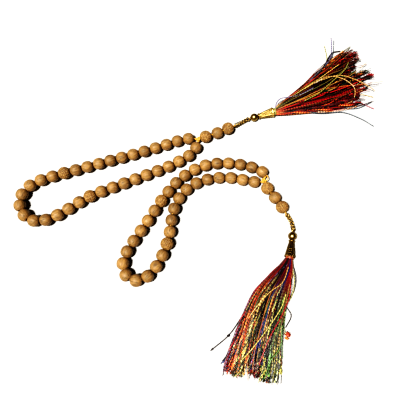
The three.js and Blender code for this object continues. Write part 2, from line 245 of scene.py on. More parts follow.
# What each tassel's locks are dyed, from the right-hand edge of the skirt to the left-hand
# edge as it is seen from the cap: where a band ends, from 0 to 1, and its shades by weight.
BANDS = {
    "a": [
        (0.03, {"red": 4, "maroon": 4, "orange": 1, "gold": 1}),
        (0.4, {"red": 7, "maroon": 6, "vermilion": 1, "black": 3}),
        (0.62, {"black": 5, "maroon": 5, "red": 3, "green": 1, "orange": 2, "cream": 1}),
        (0.86, {"maroon": 5, "vermilion": 3, "black": 4, "orange": 2, "red": 3, "cream": 1}),
        (1.01, {"vermilion": 4, "orange": 2, "gold": 1, "maroon": 4, "yellow": 1, "black": 2}),
    ],
    "b": [
        (0.05, {"red": 4, "vermilion": 4, "orange": 2, "lilac": 2, "navy": 1}),
        (0.4, {"yellow": 5, "orange": 6, "vermilion": 3, "olive": 1, "leaf": 2, "red": 2,
               "maroon": 2, "black": 8}),
        (0.66, {"navy": 6, "black": 9, "green": 2, "red": 3, "maroon": 3, "yellow": 2,
                "orange": 1}),
        (0.86, {"olive": 3, "yellow": 4, "leaf": 3, "red": 2, "maroon": 2, "black": 8,
                "slate": 1}),
        (1.01, {"yellow": 4, "leaf": 3, "green": 2, "navy": 3, "olive": 2, "black": 6}),
    ],
}

# The threads' colours where they come out of the cap, in the same way: strand b's are dark there.
ROOTS = {
    "a": [
        (0.3, {"orange": 3, "gold": 1, "vermilion": 2, "maroon": 2}),
        (0.62, {"maroon": 3, "red": 2, "green": 2, "black": 2}),
        (0.8, {"green": 2, "olive": 2, "yellow": 1, "black": 1}),
        (1.01, {"yellow": 3, "gold": 2, "olive": 1}),
    ],
    "b": [
        (0.16, {"maroon": 5, "black": 3, "rust": 2}),
        (0.8, {"black": 5, "maroon": 4, "navy": 1}),
        (1.01, {"maroon": 4, "black": 3, "gold": 1, "olive": 1}),
    ],
}

# ---------------------------------------------------------------------------
# Sizes and colours that a user may change
# ---------------------------------------------------------------------------


class PrayerBeadSettings(bpy.types.PropertyGroup):
    """Sizes and colours of the wooden beads"""

    radius: FloatProperty(
        name="Plain Radius", description="Radius of a plain bead",
        default=0.00404, min=0.001, unit="LENGTH",
    )
    half_length: FloatProperty(
        name="Plain Half Length", description="Half of a plain bead's length along its bore",
        default=0.00382, min=0.001, unit="LENGTH",
    )
    carved_radius: FloatProperty(
        name="Carved Radius", description="Radius of a carved bead",
        default=0.0042, min=0.001, unit="LENGTH",
    )
    carved_half_length: FloatProperty(
        name="Carved Half Length", description="Half of a carved bead's length along its bore",
        default=0.00388, min=0.001, unit="LENGTH",
    )
    bore_radius: FloatProperty(
        name="Bore Radius", description="Radius of the drilled hole",
        default=0.00115, min=0.0003, unit="LENGTH",
    )
    carving_depth: FloatProperty(
        name="Carving Depth", description="Depth of the deepest cut in a carved bead",
        default=0.00034, min=0, unit="LENGTH",
    )
    light_wood: FloatVectorProperty(
        name="Light Wood", description="Colour of the wood between its grain lines",
        default=(0.33, 0.2, 0.085), size=3, min=0, max=1, subtype="COLOR",
    )
    dark_wood: FloatVectorProperty(
        name="Dark Wood", description="Colour of the grain lines and pores",
        default=(0.1, 0.062, 0.028), size=3, min=0, max=1, subtype="COLOR",
    )
    carved_wood: FloatVectorProperty(
        name="Carved Wood", description="Colour of the carved beads",
        default=(0.42, 0.265, 0.1), size=3, min=0, max=1, subtype="COLOR",
    )


class PrayerCordSettings(bpy.types.PropertyGroup):
    """Sizes and colours of the cords and knots"""

    radius: FloatProperty(
        name="Cord Radius", description="Radius of the three-ply cord",
        default=0.0005, min=0.0002, unit="LENGTH",
    )
    lay_length: FloatProperty(
        name="Lay Length", description="Length of cord in which its plies go once round",
        default=0.0024, min=0.0005, unit="LENGTH",
    )
    colour: FloatVectorProperty(
        name="Cord Colour", description="Colour of the cord's crowns",
        default=(0.9, 0.55, 0.07), size=3, min=0, max=1, subtype="COLOR",
    )
    # The valley colour is painted shade between the plies.
    valley_shade: FloatVectorProperty(
        name="Valley Colour", description="Colour of the cord between its plies",
        default=(0.2, 0.045, 0.006), size=3, min=0, max=1, subtype="COLOR",
    )


class PrayerMetalSettings(bpy.types.PropertyGroup):
    """Sizes and colours of the chain, the ball and the cap"""

    rings: IntProperty(
        name="Rings", description="Number of rings in each chain", default=11, min=3,
    )
    ring_wire: FloatProperty(
        name="Ring Wire Radius", description="Radius of the wire of a chain ring",
        default=0.00031, min=0.0001, unit="LENGTH",
    )
    ring_length: FloatProperty(
        name="Ring Length", description="Outer length of a chain ring",
        default=0.0031, min=0.001, unit="LENGTH",
    )
    ring_width: FloatProperty(
        name="Ring Width", description="Outer width of a chain ring",
        default=0.0031, min=0.001, unit="LENGTH",
    )
    ball_radius: FloatProperty(
        name="Ball Radius", description="Radius of the metal ball",
        default=0.0028, min=0.001, unit="LENGTH",
    )
    flutes: IntProperty(
        name="Flutes", description="Number of flutes round the cap", default=12, min=5,
    )
    wall: FloatProperty(
        name="Cap Wall", description="Thickness of the cap's sheet metal",
        default=0.00028, min=0.0001, unit="LENGTH",
    )
    gold: FloatVectorProperty(
        name="Gold", description="Colour of the bright metal",
        default=(0.54, 0.38, 0.145), size=3, min=0, max=1, subtype="COLOR",
    )
    tarnish: FloatVectorProperty(
        name="Tarnish", description="Colour of the metal where it is dull",
        default=(0.1, 0.045, 0.012), size=3, min=0, max=1, subtype="COLOR",
    )


class PrayerTasselSettings(bpy.types.PropertyGroup):
    """Sizes and numbers of the tassel threads"""

    thread_radius: FloatProperty(
        name="Thread Radius", description="Radius of one thread",
        default=0.00025, min=0.00005, unit="LENGTH",
    )
    locks: IntProperty(
        name="Locks", description="Number of twisted locks in a tassel", default=48, min=1,
    )
    threads_in_lock: IntProperty(
        name="Threads in a Lock", description="Threads twisted together in a lock",
        default=10, min=1,
    )
    loose_threads: IntProperty(
        name="Loose Threads", description="Single threads between the locks", default=130, min=0,
    )
    seed: IntProperty(
        name="Seed", description="Seed of the tassel's random numbers", default=7,
    )


class PrayerStageSettings(bpy.types.PropertyGroup):
    """Camera, floor and light"""

    look_at: FloatVectorProperty(
        name="Look At", description="Point that the camera looks at",
        default=(-0.003, -0.004, 0.004), size=3, subtype="TRANSLATION", unit="LENGTH",
    )
    distance: FloatProperty(
        name="Camera Distance", description="Distance from the camera to that point",
        default=0.27697, unit="LENGTH",
    )
    elevation: FloatProperty(
        name="Camera Elevation", description="Angle of the camera above the table",
        default=math.radians(70.95), subtype="ANGLE",
    )
    lens: FloatProperty(
        name="Lens", description="Focal length in millimetres", default=37.8, min=1,
    )
    floor_colour: FloatVectorProperty(
        name="Floor Colour", description="Colour of the pale floor",
        default=(0.46, 0.46, 0.458), size=3, min=0, max=1, subtype="COLOR",
    )
    sun_strength: FloatProperty(
        name="Key Strength", description="Strength of the key", default=9.0, min=0,
    )
    sun_angle: FloatProperty(
        name="Key Softness", description="Angle that the key covers as it is seen from the table",
        default=math.radians(9), min=0, subtype="ANGLE",
    )
    sky_strength: FloatProperty(
        name="Fill Strength", description="Strength of the fill", default=0.03, min=0,
    )


def settings(name):
    """The property group that holds one part's sizes and colours."""
    return getattr(bpy.context.scene, "prayer_" + name)


# ---------------------------------------------------------------------------
# Routes
# ---------------------------------------------------------------------------


def spline_point(before, start, end, after, t):
    """A point of the curve that runs from start to end with half-chord tangents."""
    leave = (end - before) * 0.5
    arrive = (after - start) * 0.5
    return (
        (2 * start - 2 * end + leave + arrive) * t**3
        + (3 * end - 3 * start - 2 * leave - arrive) * t**2
        + leave * t
        + start
    )


def smooth_points(points, per_span):
    """Points along a smooth curve through the given vectors, of any dimension."""
    path = [Vector(p) for p in points]
    path.insert(0, path[0] * 2 - path[1])
    path.append(path[-1] * 2 - path[-2])
    found = []
    for k in range(1, len(path) - 2):
        for step in range(per_span):
            found.append(spline_point(*path[k - 1:k + 3], step / per_span))
    found.append(path[-2].copy())
    return found


class Route:
    """A smooth curve that is measured along its own length."""

    # Steps between two given points, and how far each way a direction is taken.
    STEPS_IN_SPAN = 32
    REACH = 0.0002

    def __init__(self, points):
        full = [tuple(p) if len(p) > 2 else (*p, CORD_HEIGHT) for p in points]
        self.points = smooth_points(full, self.STEPS_IN_SPAN)
        self.marks = [0.0]
        for here, ahead in zip(self.points, self.points[1:]):
            self.marks.append(self.marks[-1] + (ahead - here).length)
        self.length = self.marks[-1]

    def at(self, length):
        """The point at a length along the route."""
        length = min(max(length, 0.0), self.length)
        low, high = 0, len(self.marks) - 1
        while high - low > 1:
            middle = (low + high) // 2
            low, high = (middle, high) if self.marks[middle] <= length else (low, middle)
        share = (length - self.marks[low]) / (self.marks[high] - self.marks[low])
        return self.points[low].lerp(self.points[high], share)

    def along(self, length):
        """The route's direction at a length along it."""
        return (self.at(length + self.REACH) - self.at(length - self.REACH)).normalized()

    def steps(self, spacing):
        """Points along the whole route, about a spacing apart."""
        count = max(2, round(self.length / spacing))
        return [self.at(self.length * k / count) for k in range(count + 1)]


def bead_place(route, at, radius, half_length):
    """Centre and bore direction of a bead on a cord. It is set half of the cord's bow inwards."""
    back = route.at(at - half_length)
    front = route.at(at + half_length)
    centre = ((back + front) * 0.5 + route.at(at)) * 0.5
    centre.z = radius
    along = front - back
    along.z = 0
    return centre, along.normalized()


def cap_basis(strand):
    """The cap's own frame: its origin is the eye, Y runs to the mouth and Z is upright."""
    eye = Vector(strand["eye"])
    along = (Vector(strand["mouth"]) - eye).normalized()
    side = along.cross(UP).normalized()
    return Matrix.Translation(eye) @ Matrix((side, along, side.cross(along))).transposed().to_4x4()


# ---------------------------------------------------------------------------
# Node tree helpers
# ---------------------------------------------------------------------------

VALUE = "NodeSocketFloat"
WHOLE = "NodeSocketInt"
VECTOR = "NodeSocketVector"
COLOUR = "NodeSocketColor"
GEOMETRY = "NodeSocketGeometry"
OBJECT = "NodeSocketObject"
MATERIAL = "NodeSocketMaterial"

# The numbers of a Mix node's colour sockets.
MIX_FACTOR = 0
MIX_FIRST = 6
MIX_SECOND = 7
MIX_COLOUR = 2


def new_group(name, kind, inputs, outputs):
    """A node group with named sockets, and its two end nodes."""
    group = bpy.data.node_groups.new(name, kind)
    for label, socket in inputs:
        group.interface.new_socket(name=label, in_out="INPUT", socket_type=socket)
    for label, socket in outputs:
        group.interface.new_socket(name=label, in_out="OUTPUT", socket_type=socket)
    return group, group.nodes.new("NodeGroupInput"), group.nodes.new("NodeGroupOutput")


def put(tree, kind, links=None, **properties):
    """Adds a node, sets its properties, and links or sets its sockets by name or number."""
    node = tree.nodes.new(kind)
    node.location = (180 * (len(tree.nodes) % 8), -220 * (len(tree.nodes) // 8))
    for name, value in properties.items():
        setattr(node, name, value)
    for name, value in (links or {}).items():
        socket = node.inputs[name]
        if isinstance(value, bpy.types.NodeSocket):
            tree.links.new(value, socket)
        else:
            socket.default_value = value
    return node


def sums(tree, operation, *terms):
    """The result of a Math node on up to three terms."""
    return put(tree, "ShaderNodeMath", dict(enumerate(terms)), operation=operation).outputs[0]


def blended(tree, factor, first, second, blend_type="MIX"):
    """The colour of a Mix node."""
    links = {MIX_FACTOR: factor, MIX_FIRST: first, MIX_SECOND: second}
    node = put(tree, "ShaderNodeMix", links, data_type="RGBA", blend_type=blend_type)
    return node.outputs[MIX_COLOUR]


def spread(tree, value, low, high, to_low=0.0, to_high=1.0):
    """A value brought from one range to another, and kept inside it."""
    links = {"Value": value, "From Min": low, "From Max": high, "To Min": to_low, "To Max": to_high}
    return put(tree, "ShaderNodeMapRange", links).outputs[0]


def noise(tree, place, scale, detail, rough):
    """The value of a Noise Texture."""
    links = {"Vector": place, "Scale": scale, "Detail": detail, "Roughness": rough}
    return put(tree, "ShaderNodeTexNoise", links).outputs["Fac"]


def attribute(tree, name):
    """An Attribute node of a material."""
    return put(tree, "ShaderNodeAttribute", attribute_name=name, attribute_type="GEOMETRY")


def grey(tree, level):
    """A grey as light as a value."""
    links = {"Red": level, "Green": level, "Blue": level}
    return put(tree, "ShaderNodeCombineColor", links).outputs[0]


def opaque(colour):
    """A colour with full alpha."""
    return (*colour, 1.0)


def built_once(name, builder):
    """A node group by its name, which its builder makes at the first call."""
    return bpy.data.node_groups.get(name) or builder()


# ---------------------------------------------------------------------------
# Shader groups
# ---------------------------------------------------------------------------

# The warmer tone of the wood's patches.
WARM_WOOD = (0.34, 0.175, 0.052, 1)


def wood_grain_group():
    """Grain that runs along a bead's bore, with pores, and a tone of each bead's own."""
    group, given, result = new_group(
        "Wood Grain",
        "ShaderNodeTree",
        [("Place", VECTOR), ("Seed", VALUE), ("Light", COLOUR), ("Dark", COLOUR)],
        [("Colour", COLOUR), ("Roughness", VALUE), ("Height", VALUE)],
    )
    shift = put(group, "ShaderNodeVectorMath",
                {0: given.outputs["Seed"], 1: (0.31, 0.17, 0.23)}, operation="MULTIPLY")
    place = put(group, "ShaderNodeVectorMath",
                {0: given.outputs["Place"], 1: shift.outputs[0]}, operation="ADD").outputs[0]
    drawn = put(group, "ShaderNodeMapping",
                {"Vector": place, "Scale": (1.0, 0.16, 1.0)}).outputs[0]
    rings = noise(group, drawn, scale=1150.0, detail=4.0, rough=0.6)
    lines = noise(group, drawn, scale=4200.0, detail=2.0, rough=0.6)
    patches = noise(group, place, scale=330.0, detail=2.0, rough=0.5)
    short = put(group, "ShaderNodeMapping",
                {"Vector": place, "Scale": (1.0, 0.4, 1.0)}).outputs[0]
    pores = put(group, "ShaderNodeTexVoronoi",
                {"Vector": short, "Scale": 2300.0, "Randomness": 1.0}).outputs["Distance"]
    pits = spread(group, pores, 0.1, 0.26)
    tone = sums(group, "MULTIPLY_ADD", rings, 0.75, sums(group, "MULTIPLY", lines, 0.35))
    tone = spread(group, tone, 0.42, 0.68)
    colour = blended(group, tone, given.outputs["Dark"], given.outputs["Light"])
    warm = spread(group, patches, 0.35, 0.7)
    colour = blended(group, sums(group, "MULTIPLY", warm, 0.4), colour, WARM_WOOD)
    own = spread(group, given.outputs["Seed"], 0.0, 1.0, 0.8, 1.16)
    colour = blended(group, 1.0, colour, grey(group, own), "MULTIPLY")
    colour = blended(group, spread(group, pits, 0.0, 1.0, 0.55, 0.0), colour,
                     given.outputs["Dark"])
    group.links.new(colour, result.inputs["Colour"])
    rough = spread(group, tone, 0.0, 1.0, 0.7, 0.52)
    group.links.new(rough, result.inputs["Roughness"])
    height = sums(group, "MULTIPLY_ADD", lines, 0.4, pits)
    group.links.new(height, result.inputs["Height"])
    return group


def thread_twist_group():
    """The spiral of fibres round a thread: 1 on their crowns and 0 between them."""
    group, given, result = new_group(
        "Thread Twist",
        "ShaderNodeTree",
        [("Run", VALUE), ("Ring", VECTOR), ("Turns", VALUE), ("Plies", VALUE)],
        [("Crown", VALUE)],
    )
    ring = put(group, "ShaderNodeSeparateXYZ", {0: given.outputs["Ring"]})
    angle = sums(group, "ARCTAN2", ring.outputs["Y"], ring.outputs["X"])
    lead = sums(group, "MULTIPLY", given.outputs["Run"], given.outputs["Turns"])
    wave = sums(group, "SINE", sums(group, "MULTIPLY_ADD", angle, given.outputs["Plies"], lead))
    crown = sums(group, "MULTIPLY_ADD", wave, 0.5, 0.5)
    group.links.new(crown, result.inputs["Crown"])
    return group


def metal_wear_group():
    """Tarnish patches, fine scratches and small dents on worn gold-coloured metal."""
    group, given, result = new_group(
        "Metal Wear",
        "ShaderNodeTree",
        [("Bright", COLOUR), ("Dull", COLOUR), ("Patches", VALUE)],
        [("Colour", COLOUR), ("Roughness", VALUE), ("Height", VALUE)],
    )
    place = put(group, "ShaderNodeTexCoord").outputs["Object"]
    patches = noise(group, place, given.outputs["Patches"], detail=4.0, rough=0.62)
    scratched = put(group, "ShaderNodeMapping",
                    {"Vector": place, "Rotation": (0.5, 0.2, 0.7), "Scale": (1, 0.08, 1)}).outputs[0]
    scratches = noise(group, scratched, scale=9000.0, detail=2.0, rough=0.7)
    dents = noise(group, place, scale=1500.0, detail=2.0, rough=0.5)
    dull = spread(group, patches, 0.44, 0.72)
    colour = blended(group, dull, given.outputs["Bright"], given.outputs["Dull"])
    group.links.new(colour, result.inputs["Colour"])
    rough = sums(group, "MULTIPLY_ADD", scratches, 0.12, spread(group, dull, 0, 1, 0.27, 0.46))
    group.links.new(rough, result.inputs["Roughness"])
    group.links.new(sums(group, "MULTIPLY_ADD", scratches, 0.12, dents), result.inputs["Height"])
    return group


# ---------------------------------------------------------------------------
# Materials
# ---------------------------------------------------------------------------

# Painted shade for the cuts of a carved bead: the deeper a cut, the more of it.
CUT_SHADE = (0.1, 0.028, 0.008, 1)

# How light each metal is beside the gold of the settings, and how fine its tarnish patches are. Cap
# b's metal is a darker copy of cap a's: painted shade for the cap that is turned from the light.
METAL_TONE_SHADE_AND_PATCHES = {
    "chain_gold": (0.75, 1400.0),
    "polished_gold": (0.7, 420.0),
    "pressed_gold_a": (1.0, 620.0),
    # Painted shade: cap b's metal is darker than cap a's.
    "pressed_gold_b": (0.6, 900.0),
}


def new_material(name, **sockets):
    """A material with one Principled shader, and the constant values of its sockets."""
    material = bpy.data.materials.new(name)
    material.use_nodes = True
    tree = material.node_tree
    shader = tree.nodes["Principled BSDF"]
    for label, value in sockets.items():
        shader.inputs[label.replace("_", " ")].default_value = value
    return material, tree, shader


def bump(tree, shader, height, strength, depth):
    """Feeds a height to the shader's normal."""
    node = put(tree, "ShaderNodeBump", {"Height": height, "Strength": strength, "Distance": depth})
    tree.links.new(node.outputs["Normal"], shader.inputs["Normal"])


def wood_material(name, light, dark, carved):
    """Turned wood with its grain along the bore, and painted shade in the cuts of a carved bead."""
    material, tree, shader = new_material(name, Specular_IOR_Level=0.42)
    links = {
        "Place": attribute(tree, "bead_place").outputs["Vector"],
        "Seed": attribute(tree, "bead_seed").outputs["Fac"],
        "Light": opaque(light),
        "Dark": opaque(dark),
    }
    group = built_once("Wood Grain", wood_grain_group)
    grain = put(tree, "ShaderNodeGroup", links, node_tree=group)
    colour = grain.outputs["Colour"]
    if carved:
        # Painted shade: the cuts are darkened by their depth.
        depth = attribute(tree, "carving").outputs["Fac"]
        colour = blended(tree, spread(tree, depth, 0.15, 0.85, 0.0, 0.62), colour, CUT_SHADE)
    tree.links.new(colour, shader.inputs["Base Color"])
    tree.links.new(grain.outputs["Roughness"], shader.inputs["Roughness"])
    bump(tree, shader, grain.outputs["Height"], 0.3, 0.00006)
    return material


def twist_crown(tree, turns, plies):
    """The crowns of the spiral round a cord or thread, from the attributes of its mesh."""
    links = {
        "Run": attribute(tree, "run").outputs["Fac"],
        "Ring": attribute(tree, "ring").outputs["Vector"],
        "Turns": turns,
        "Plies": plies,
    }
    group = built_once("Thread Twist", thread_twist_group)
    return put(tree, "ShaderNodeGroup", links, node_tree=group).outputs["Crown"]


def cord_material(cord):
    """Three-ply cord: bright crowns, valleys darkened with painted shade, and fine fibres that cross
    the plies, striped in that shade's colour.
    """
    material, tree, shader = new_material("gold_cord", Sheen_Weight=0.25)
    fibres = twist_crown(tree, turns=-9000.0, plies=7.0)
    crown = attribute(tree, "crown").outputs["Fac"]
    valley_shade = opaque(cord.valley_shade)
    # Painted shade: the cord is darkened between its plies, away from their crowns.
    colour = blended(tree, spread(tree, crown, 0.15, 0.7), valley_shade, opaque(cord.colour))
    colour = blended(tree, spread(tree, fibres, 0, 1, 0.0, 0.3), colour, valley_shade)
    tree.links.new(colour, shader.inputs["Base Color"])
    tree.links.new(spread(tree, crown, 0, 1, 0.75, 0.48), shader.inputs["Roughness"])
    bump(tree, shader, fibres, 0.35, 0.00005)
    return material


def metal_material(name, metal):
    """Worn gold-coloured metal at one of the listed tones; cap b's darker tone is painted shade."""
    lightness, patches = METAL_TONE_SHADE_AND_PATCHES[name]
    material, tree, shader = new_material(name, Metallic=1.0)
    links = {
        "Bright": opaque([part * lightness for part in metal.gold]),
        "Dull": opaque(metal.tarnish),
        "Patches": patches,
    }
    wear = put(tree, "ShaderNodeGroup", links, node_tree=built_once("Metal Wear", metal_wear_group))
    tree.links.new(wear.outputs["Colour"], shader.inputs["Base Color"])
    tree.links.new(wear.outputs["Roughness"], shader.inputs["Roughness"])
    bump(tree, shader, wear.outputs["Height"], 0.18, 0.00006)
    return material


def thread_material():
    """Dyed two-ply thread: its plies have their own shades, with painted shade along the seam
    between them.
    """
    material, tree, shader = new_material("tassel_thread", Specular_IOR_Level=0.9)
    crown = twist_crown(tree, turns=3200.0, plies=1.0)
    shade = attribute(tree, "thread_shade").outputs["Color"]
    mate = attribute(tree, "thread_mate").outputs["Color"]
    colour = blended(tree, spread(tree, crown, 0.42, 0.58), mate, shade)
    # Painted shade: the thread is darkened along the seam between its plies.
    seam = sums(tree, "ABSOLUTE", sums(tree, "MULTIPLY_ADD", crown, 2.0, -1.0))
    level = spread(tree, seam, 0.0, 0.5, 0.35, 1.0)
    colour = blended(tree, 1.0, colour, grey(tree, level), "MULTIPLY")
    tree.links.new(colour, shader.inputs["Base Color"])
    tree.links.new(spread(tree, seam, 0, 1, 0.65, 0.28), shader.inputs["Roughness"])
    bump(tree, shader, seam, 0.5, 0.00006)
    return material


# ---------------------------------------------------------------------------
# Geometry trees
# ---------------------------------------------------------------------------

# A cord's section: how many sides and plies it has, and half of how deep its valleys are
# beside its radius.
CORD_SIDES = 15
PLIES = 3
PLY_DEPTH = 0.13


def named(tree, name, kind="FLOAT"):
    """The value of a named attribute."""
    return put(tree, "GeometryNodeInputNamedAttribute", {"Name": name}, data_type=kind).outputs[0]


def stored(tree, geometry, name, value, kind="FLOAT", domain="POINT"):
    """The geometry with a value stored on it as a named attribute."""
    links = {"Geometry": geometry, "Name": name, "Value": value}
    return put(tree, "GeometryNodeStoreNamedAttribute", links,
               data_type=kind, domain=domain).outputs[0]


def finished(tree, geometry, given, result):
    """Realizes the instances, shades them smooth and gives them their material."""
    real = put(tree, "GeometryNodeRealizeInstances", {0: geometry}).outputs[0]
    smooth = put(tree, "GeometryNodeSetShadeSmooth", {0: real}).outputs[0]
    dressed = put(tree, "GeometryNodeSetMaterial",
                  {"Geometry": smooth, "Material": given.outputs["Material"]})
    tree.links.new(dressed.outputs[0], result.inputs["Geometry"])


def random_value(tree, low, high, seed):
    """A random number of each point."""
    links = {2: low, 3: high, "Seed": seed}
    return put(tree, "FunctionNodeRandomValue", links, data_type="FLOAT").outputs[1]


def placed(tree, given, shape, roll, scale=(1.0, 1.0, 1.0)):
    """An object on every point, along the point's direction, rolled by an angle and scaled."""
    along = put(tree, "FunctionNodeAlignRotationToVector",
                {"Vector": named(tree, "along", "FLOAT_VECTOR")}, axis="Y").outputs[0]
    rolled = put(tree, "FunctionNodeAxisAngleToRotation",
                 {"Axis": (0.0, 1.0, 0.0), "Angle": roll}).outputs[0]
    turn = put(tree, "FunctionNodeRotateRotation",
               {"Rotation": along, "Rotate By": rolled}, rotation_space="LOCAL").outputs[0]
    shape = put(tree, "GeometryNodeObjectInfo", {"Object": shape}).outputs["Geometry"]
    links = {"Points": given.outputs["Geometry"], "Instance": shape, "Rotation": turn,
             "Scale": scale}
    return put(tree, "GeometryNodeInstanceOnPoints", links).outputs[0]


def strung_beads_tree():
    """Puts a bead on every point, along its bore direction and turned at random round it."""
    tree, given, result = new_group(
        "Strung Beads",
        "GeometryNodeTree",
        [("Geometry", GEOMETRY), ("Bead", OBJECT), ("Smallest", VALUE), ("Seed", WHOLE),
         ("Material", MATERIAL)],
        [("Geometry", GEOMETRY)],
    )
    seed = given.outputs["Seed"]
    roll = random_value(tree, 0.0, 2 * math.pi, seed)
    later = put(tree, "FunctionNodeIntegerMath", {0: seed, 1: 50}, operation="ADD").outputs[0]
    size = random_value(tree, given.outputs["Smallest"], 1.0, later)
    strung = placed(tree, given, given.outputs["Bead"], roll, size)
    tone = random_value(tree, 0.0, 1.0, seed)
    finished(tree, stored(tree, strung, "bead_seed", tone, domain="INSTANCE"), given, result)
    return tree


def linked_rings_tree():
    """Puts a ring on every point, along the chain and rolled by the point's own angle."""
    tree, given, result = new_group(
        "Linked Rings",
        "GeometryNodeTree",
        [("Geometry", GEOMETRY), ("Ring", OBJECT), ("Material", MATERIAL)],
        [("Geometry", GEOMETRY)],
    )
    linked = placed(tree, given, given.outputs["Ring"], named(tree, "roll"))
    finished(tree, linked, given, result)
    return tree


def wound_cord_tree():
    """Lays a three-ply cord along each line."""
    tree, given, result = new_group(
        "Wound Cord",
        "GeometryNodeTree",
        [("Geometry", GEOMETRY), ("Radius", VALUE), ("Lay Length", VALUE), ("Material", MATERIAL)],
        [("Geometry", GEOMETRY)],
    )
    line = put(tree, "GeometryNodeMeshToCurve", {0: given.outputs["Geometry"]}).outputs[0]
    length = put(tree, "GeometryNodeSplineParameter").outputs["Length"]
    line = stored(tree, line, "run", length)
    turn = sums(tree, "DIVIDE", sums(tree, "MULTIPLY", length, 2 * math.pi),
                given.outputs["Lay Length"])
    line = put(tree, "GeometryNodeSetCurveTilt", {"Curve": line, "Tilt": turn}).outputs[0]
    section = put(tree, "GeometryNodeCurvePrimitiveCircle",
                  {"Resolution": CORD_SIDES, "Radius": given.outputs["Radius"]}).outputs[0]
    share = put(tree, "GeometryNodeSplineParameter").outputs["Factor"]
    wave = sums(tree, "COSINE", sums(tree, "MULTIPLY", share, 2 * math.pi * PLIES))
    swell = sums(tree, "MULTIPLY_ADD", wave, PLY_DEPTH, -PLY_DEPTH)
    place = put(tree, "GeometryNodeInputPosition").outputs[0]
    offset = put(tree, "ShaderNodeVectorMath", {0: place, "Scale": swell}, operation="SCALE")
    way = put(tree, "ShaderNodeVectorMath", {0: place}, operation="NORMALIZE").outputs[0]
    section = stored(tree, section, "ring", way, "FLOAT_VECTOR")
    section = stored(tree, section, "crown", sums(tree, "MULTIPLY_ADD", wave, 0.5, 0.5))
    section = put(tree, "GeometryNodeSetPosition",
                  {"Geometry": section, "Offset": offset.outputs[0]}).outputs[0]
    cord = put(tree, "GeometryNodeCurveToMesh",
               {"Curve": line, "Profile Curve": section, "Fill Caps": True}).outputs[0]
    finished(tree, cord, given, result)
    return tree


def spun_threads_tree():
    """Gives each line a thread of its own radius."""
    tree, given, result = new_group(
        "Spun Threads",
        "GeometryNodeTree",
        [("Geometry", GEOMETRY), ("Sides", WHOLE), ("Material", MATERIAL)],
        [("Geometry", GEOMETRY)],
    )
    line = put(tree, "GeometryNodeMeshToCurve", {0: given.outputs["Geometry"]}).outputs[0]
    length = put(tree, "GeometryNodeSplineParameter").outputs["Length"]
    line = stored(tree, line, "run", length)
    section = put(tree, "GeometryNodeCurvePrimitiveCircle",
                  {"Resolution": given.outputs["Sides"], "Radius": 1.0}).outputs[0]
    place = put(tree, "GeometryNodeInputPosition").outputs[0]
    section = stored(tree, section, "ring", place, "FLOAT_VECTOR")
    thread = put(tree, "GeometryNodeCurveToMesh",
                 {"Curve": line, "Profile Curve": section, "Scale": named(tree, "thread_radius"),
                  "Fill Caps": True}).outputs[0]
    finished(tree, thread, given, result)
    return tree


def grown(name, source, tree, **inputs):
    """Runs a geometry tree on a source mesh, and returns the result as a plain mesh object."""
    holder = bpy.data.objects.new(name + "_source", source)
    bpy.context.collection.objects.link(holder)
    modifier = holder.modifiers.new(tree.name, "NODES")
    modifier.node_group = tree
    for item in tree.interface.items_tree:
        label = item.name.replace(" ", "_")
        if item.in_out == "INPUT" and label in inputs:
            modifier[item.identifier] = inputs[label]
    graph = bpy.context.evaluated_depsgraph_get()
    mesh = bpy.data.meshes.new_from_object(
        holder.evaluated_get(graph), preserve_all_data_layers=True, depsgraph=graph
    )
    bpy.data.objects.remove(holder)
    bpy.data.meshes.remove(source)
    if not mesh.polygons:
        raise RuntimeError(name + " came out empty")
    mesh.name = name
    piece = bpy.data.objects.new(name, mesh)
    bpy.context.collection.objects.link(piece)
    return piece


# ---------------------------------------------------------------------------
# Meshes
# ---------------------------------------------------------------------------


def mesh_from(name, points, faces):
    """A smooth-shaded mesh."""
    mesh = bpy.data.meshes.new(name)
    mesh.from_pydata([tuple(p) for p in points], [], faces)
    mesh.update()
    mesh.polygons.foreach_set("use_smooth", [True] * len(mesh.polygons))
    return mesh


def add_attribute(mesh, name, kind, values):
    """Stores one value for each vertex."""
    layer = mesh.attributes.new(name, kind, "POINT")
    field = {"FLOAT": "value", "FLOAT_VECTOR": "vector", "FLOAT_COLOR": "color"}[kind]
    flat = values if kind == "FLOAT" else [number for value in values for number in value]
    layer.data.foreach_set(field, flat)


def turned(profile, sides):
    """Points and faces of a closed outline of (radius, y) turned round Y, facing outwards."""
    rows = len(profile)
    points = []
    for radius, y in profile:
        for k in range(sides):
            angle = 2 * math.pi * k / sides
            points.append(Vector((radius * math.cos(angle), y, -radius * math.sin(angle))))
    faces = []
    for r in range(rows):
        here, ahead = r * sides, ((r + 1) % rows) * sides
        for k in range(sides):
            after = (k + 1) % sides
            faces.append((here + k, here + after, ahead + after, ahead + k))
    return points, faces


def line_mesh(name, lines, closed=False):
    """A mesh of loose edges: one chain of edges for each list of points."""
    points, edges = [], []
    for line in lines:
        first = len(points)
        points.extend(tuple(p) for p in line)
        edges.extend((k, k + 1) for k in range(first, len(points) - 1))
        if closed:
            edges.append((len(points) - 1, first))
    mesh = bpy.data.meshes.new(name)
    mesh.from_pydata(points, edges, [])
    return mesh


def point_mesh(name, places, **extra):
    """A mesh of loose points, one for each (centre, direction)."""
    mesh = bpy.data.meshes.new(name)
    mesh.from_pydata([tuple(centre) for centre, _ in places], [], [])
    add_attribute(mesh, "along", "FLOAT_VECTOR", [along for _, along in places])
    for label, values in extra.items():
        add_attribute(mesh, label, "FLOAT", values)
    return mesh


# How square a bead's barrel is (1 is an ellipse), how wide its countersink is at the mouth and
# at the foot beside the bore, and how deep the foot and the straight bore start beside the
# bead's radius.
BARREL_POWER = 2 / 2.2
SINK_WIDTH = 1.32
FOOT_WIDTH = 1.06
FOOT_DEPTH = 0.03
BORE_DEPTH = 0.1


